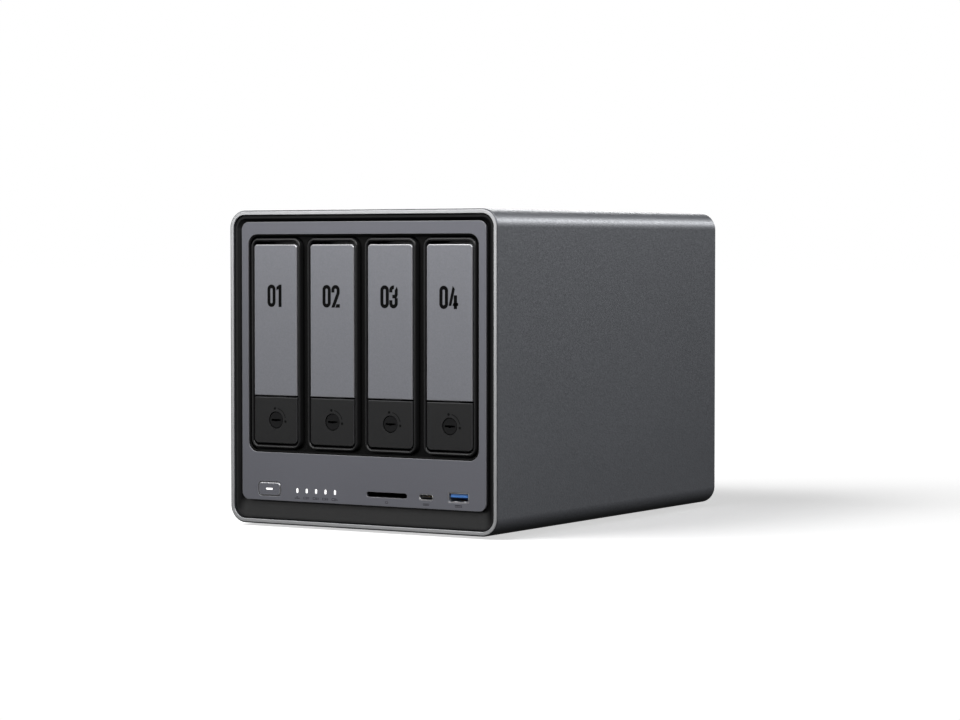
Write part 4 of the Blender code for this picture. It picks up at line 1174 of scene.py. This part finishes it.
def make_rear():
    """Everything at the back. Gives the list of its pieces."""
    pieces = [*make_rear_panel(), *make_filter(), make_fan_frame(), make_fan_rotor()]
    pieces += [make_lan(1), make_lan(2)]
    usb_cavity, usb_tongue = (6.25, 2.6, 0.4), (1.0, 5.4, 0.9, 4)
    usb = ("usb_stack", "rear_usb_stack", 13.0, (-3.8, 3.8), usb_cavity, usb_tongue, BLUE)
    video_cavity, video_tongue = (7.0, 2.3, 0.9), (0.3, 5.2, 0.6, 9)
    video = ("video_socket", "video_port", 9.0, (0.0,), video_cavity, video_tongue, INSULATOR)
    pieces += [make_tongued(*usb), make_tongued(*video)]
    return pieces + [make_inlet(), make_reset()]


# ---------------------------------------------------------------- inside and underneath


def make_drive_connector(bay):
    """A combined data and power connector: a housing, two tongues with an L at their ends, contacts."""
    node = f"drive_connector_{bay}"
    low, high = box(node)
    x, z = node_shape(node, 0.3)[:2]
    base = low.y + 2.8
    contact_pitch = 1.27
    bm = bmesh.new()
    add_box(bm, (low.x, base, low.z), high, 0.3)
    for bottom, top in ((-19.5, -4.5), (-2.5, 19.5)):
        for half, start in ((0.6, bottom), (0.9, top - 0.9)):
            add_box(bm, (x - half, low.y, z + start), (x + half, base + 0.3, z + top), 0.1)
        for contact in range(round((top - bottom) / contact_pitch) - 1):
            height = z + bottom + 1.1 + contact * contact_pitch
            add_bar(bm, x + 0.58, height, 0.08, 0.35, low.y + 0.3, base, 0.0, 1)
    piece(f"connector_{bay}", bm, [INSULATOR, GOLD], [node])


def make_board_parts():
    """Chips, capacitors, a coin cell and screws on the mainboard. A chip is (x, y, half x, half y)."""
    top = box("mainboard")[1].z
    bm = bmesh.new()
    chips = [(-52, 10, 9, 9), (-55, 40, 6, 4), (-50, 70, 7, 7), (48, 62, 8, 8)]
    chips += [(55, 20, 5, 7), (45, -20, 4, 4), (-48, -25, 5, 4)]
    for x, y, half_x, half_y in chips:
        add_box(bm, (x - half_x, y - half_y, top), (x + half_x, y + half_y, top + 1.2), 0.15)
    for y in range(-60, 96, 26):
        for x in (66, -66):
            add_turned(bm, (x, y, top), round_end(2.6, 0.0, 6.5, 0.4), "Z", 20, 1)
    add_turned(bm, (0.0, -55.0, top), round_end(10.0, 1.0, 4.2, 0.4), "Z", 40, 1)
    for x in (-76, 76):
        for y in (-78, 100):
            add_screw(bm, (x, y, top), 2.8, "Z", 1, 1)
    piece("board_parts", bm, [CHIP, BRIGHT_SCREW])


def make_backplane_screws():
    back = box("drive_backplane")[1].y
    bm = bmesh.new()
    for x in (-72.0, 0.0, 72.0):
        for z in (49.0, 158.0):
            add_screw(bm, (x, back, z), 2.4, "Y", 1)
    piece("backplane_screws", bm, [BRIGHT_SCREW])


def make_underside():
    """The hatch's screws, and the four rubber feet."""
    low, high = box("bottom_cover")
    inset = 4.5
    screws = bmesh.new()
    for x in (low.x + inset, high.x - inset):
        for y in (low.y + inset, high.y - inset):
            add_screw(screws, (x, y, low.z), 2.2, "Z", -1)
    piece("hatch_screws", screws, [SCREW])
    for end in ("front", "rear"):
        for side in ("left", "right"):
            node = f"foot_{end}_{side}"
            foot_low, foot_high = box(node)
            middle = (foot_low + foot_high) / 2
            radius, height = (foot_high.x - foot_low.x) / 2, foot_high.z - foot_low.z
            profile = [(radius * 0.80, 0.35), (radius * 0.84, 0.05)] + round_end(radius, 0.0, height, 0.3)
            bm = bmesh.new()
            add_turned(bm, (middle.x, middle.y, foot_low.z), profile, "Z", 48)
            piece(f"{end}_{side}_pad", bm, [RUBBER], [node])


def make_inside():
    for bay in BAYS:
        make_drive_connector(bay)
    make_board_parts()
    make_backplane_screws()
    make_underside()


def dress_inside():
    """Materials for the CAD nodes that show as they are."""
    dress(STEEL, "cage_top", "cage_bottom", "cage_wall_left", "cage_wall_right")
    # The dividers' black is darker than the plastic: painted shade between the trays.
    dress(BAY_BLACK_AND_SHADE, "bay_divider_1", "bay_divider_2", "bay_divider_3")
    dress(BOARD, "drive_backplane", "mainboard", "memory_module")
    dress(DARK_BOARD, "front_io_board", "boot_drive")
    dress(SINK, "cpu_heatsink")
    dress(SHELL, "bottom_cover")


# ---------------------------------------------------------------- camera, floor and lights


def make_camera():
    camera = bpy.data.cameras.new("camera")
    camera.lens = 107.4
    camera.sensor_width = 36.0
    camera.clip_end = 50.0
    obj = bpy.data.objects.new("camera", camera)
    obj.location = (0.8862, -1.4407, 0.1543)
    obj.rotation_euler = (math.radians(90.0 - 2.13), 0.0, math.radians(31.632))
    bpy.context.scene.collection.objects.link(obj)
    bpy.context.scene.camera = obj


FLOOR_MIDDLE = (0.03, 0.03, 0.0)
FLOOR_NEAR = 0.30
FLOOR_FAR = 0.55


def make_floor():
    """A wide pale floor that glows faintly, so that its shadows stay light, and turns white further out."""
    bm = bmesh.new()
    bmesh.ops.create_grid(bm, x_segments=2, y_segments=2, size=20.0)
    mesh = bpy.data.meshes.new("floor")
    bm.to_mesh(mesh)
    bm.free()
    shader = Shader("pale_floor", 0.7)
    shader.bsdf.inputs["Specular IOR Level"].default_value = 0.0
    mapping = shader.tree.nodes.new("ShaderNodeMapping")
    mapping.inputs["Location"].default_value = [-value for value in FLOOR_MIDDLE]
    shader.link(shader.coords, mapping.inputs["Vector"])
    length = shader.tree.nodes.new("ShaderNodeVectorMath")
    length.operation = "LENGTH"
    shader.link(mapping.outputs["Vector"], length.inputs[0])
    fade = shader.tree.nodes.new("ShaderNodeMapRange")
    fade.interpolation_type = "SMOOTHSTEP"
    fade.inputs["From Min"].default_value = FLOOR_NEAR
    fade.inputs["From Max"].default_value = FLOOR_FAR
    shader.link(length.outputs["Value"], fade.inputs["Value"])
    grain = shader.mix(shader.noise(3.0), (0.80, 0.80, 0.80), (0.81, 0.81, 0.81))
    shader.paint(shader.mix(fade.outputs["Result"], grain, (0.0, 0.0, 0.0)))
    glow = shader.mix(fade.outputs["Result"], (0.60, 0.60, 0.60), (1.02, 1.02, 1.02))
    shader.link(glow, shader.bsdf.inputs["Emission Color"])
    shader.bsdf.inputs["Emission Strength"].default_value = 1.0
    mesh.materials.append(shader.material)
    floor = bpy.data.objects.new("floor", mesh)
    floor.visible_diffuse = False
    floor.visible_glossy = False
    bpy.context.scene.collection.objects.link(floor)
    return floor


def make_world():
    """White behind everything, and a faint even fill."""
    world = bpy.data.worlds.new("studio")
    bpy.context.scene.world = world
    world.use_nodes = True
    tree = world.node_tree
    background = tree.nodes["Background"]
    background.inputs["Color"].default_value = (1.0, 1.0, 1.0, 1.0)
    path = tree.nodes.new("ShaderNodeLightPath")
    spread = tree.nodes.new("ShaderNodeMapRange")
    spread.inputs["To Min"].default_value = WORLD_FILL
    spread.inputs["To Max"].default_value = 1.0
    tree.links.new(path.outputs["Is Camera Ray"], spread.inputs["Value"])
    tree.links.new(spread.outputs["Result"], background.inputs["Strength"])


def area_light(name, place, target, size, power):
    light = bpy.data.lights.new(name, "AREA")
    light.shape = "RECTANGLE"
    light.size, light.size_y = size
    light.energy = power
    obj = bpy.data.objects.new(name, light)
    obj.location = place
    direction = Vector(target) - Vector(place)
    obj.rotation_euler = direction.to_track_quat("-Z", "Y").to_euler()
    obj.visible_camera = False
    bpy.context.scene.collection.objects.link(obj)
    return obj


def link_light(light, receivers, state):
    """Keeps a light off some objects, or on them alone."""
    group = bpy.data.collections.new(f"{light.name}_receivers")
    for receiver in receivers:
        group.objects.link(receiver)
    light.light_linking.receiver_collection = group
    for item in group.collection_objects:
        item.light_linking.link_state = state


WORLD_FILL = 0.03
FLOOR_POWER = 60.0
REAR_POWER = 24.0
SOFTBOXES = {
    "key_left_high": ((-1.15, -1.75, 1.05), (0.0, -0.1, 0.10), (1.1, 1.3), 5.15),
    "key_left_low": ((-1.05, -1.83, 0.50), (0.0, -0.1, 0.12), (1.2, 0.7), 6.7),
    "front_top_near": ((-0.05, -0.50, 0.62), (0.0, -0.12, 0.14), (0.6, 0.3), 2.0),
    "side_front_top": ((0.75, -0.75, 0.9), (0.05, -0.05, 0.12), (0.6, 0.5), 10.6),
    "side_top_near": ((0.50, 0.0, 0.60), (0.08, 0.0, 0.14), (0.3, 0.7), 6.0),
    "top_back": ((0.86, 1.36, 0.84), (0.05, 0.0, 0.15), (0.7, 0.18), 16.0),
    "back_left": ((-0.9, 1.5, 1.0), (0.0, 0.1, 0.1), (0.9, 0.6), 14.0),
    "low_right": ((0.40, 0.10, 0.01), (0.08, 0.0, 0.03), (0.30, 0.02), 0.05),
    "left_fill": ((-1.7, 0.30, 1.20), (0.0, 0.0, 0.10), (1.0, 0.7), 16.0),
}


def make_stage():
    make_world()
    floor = make_floor()
    for name, (place, target, size, power) in SOFTBOXES.items():
        link_light(area_light(name, place, target, size, power), [floor], "EXCLUDE")
    floor_light = area_light("floor_light", (-1.0, -1.3, 1.7), (0.0, 0.0, 0.0), (1.6, 1.6), FLOOR_POWER)
    link_light(floor_light, [floor], "INCLUDE")


def make_rear_light(pieces):
    """A softbox behind, on the rear panel and its fittings alone, so that the top stays even."""
    light = area_light("rear_light", (0.0, 2.1, 0.40), (0.0, 0.1, 0.10), (1.2, 0.9), REAR_POWER)
    link_light(light, pieces, "INCLUDE")


make_camera()
make_stage()
make_shell()
make_bezel()
make_panel()
make_bay_frame()
make_trays()
make_front_controls()
make_rear_light(make_rear())
make_inside()
dress_inside()
bpy.context.scene.view_settings.view_transform = "Standard"
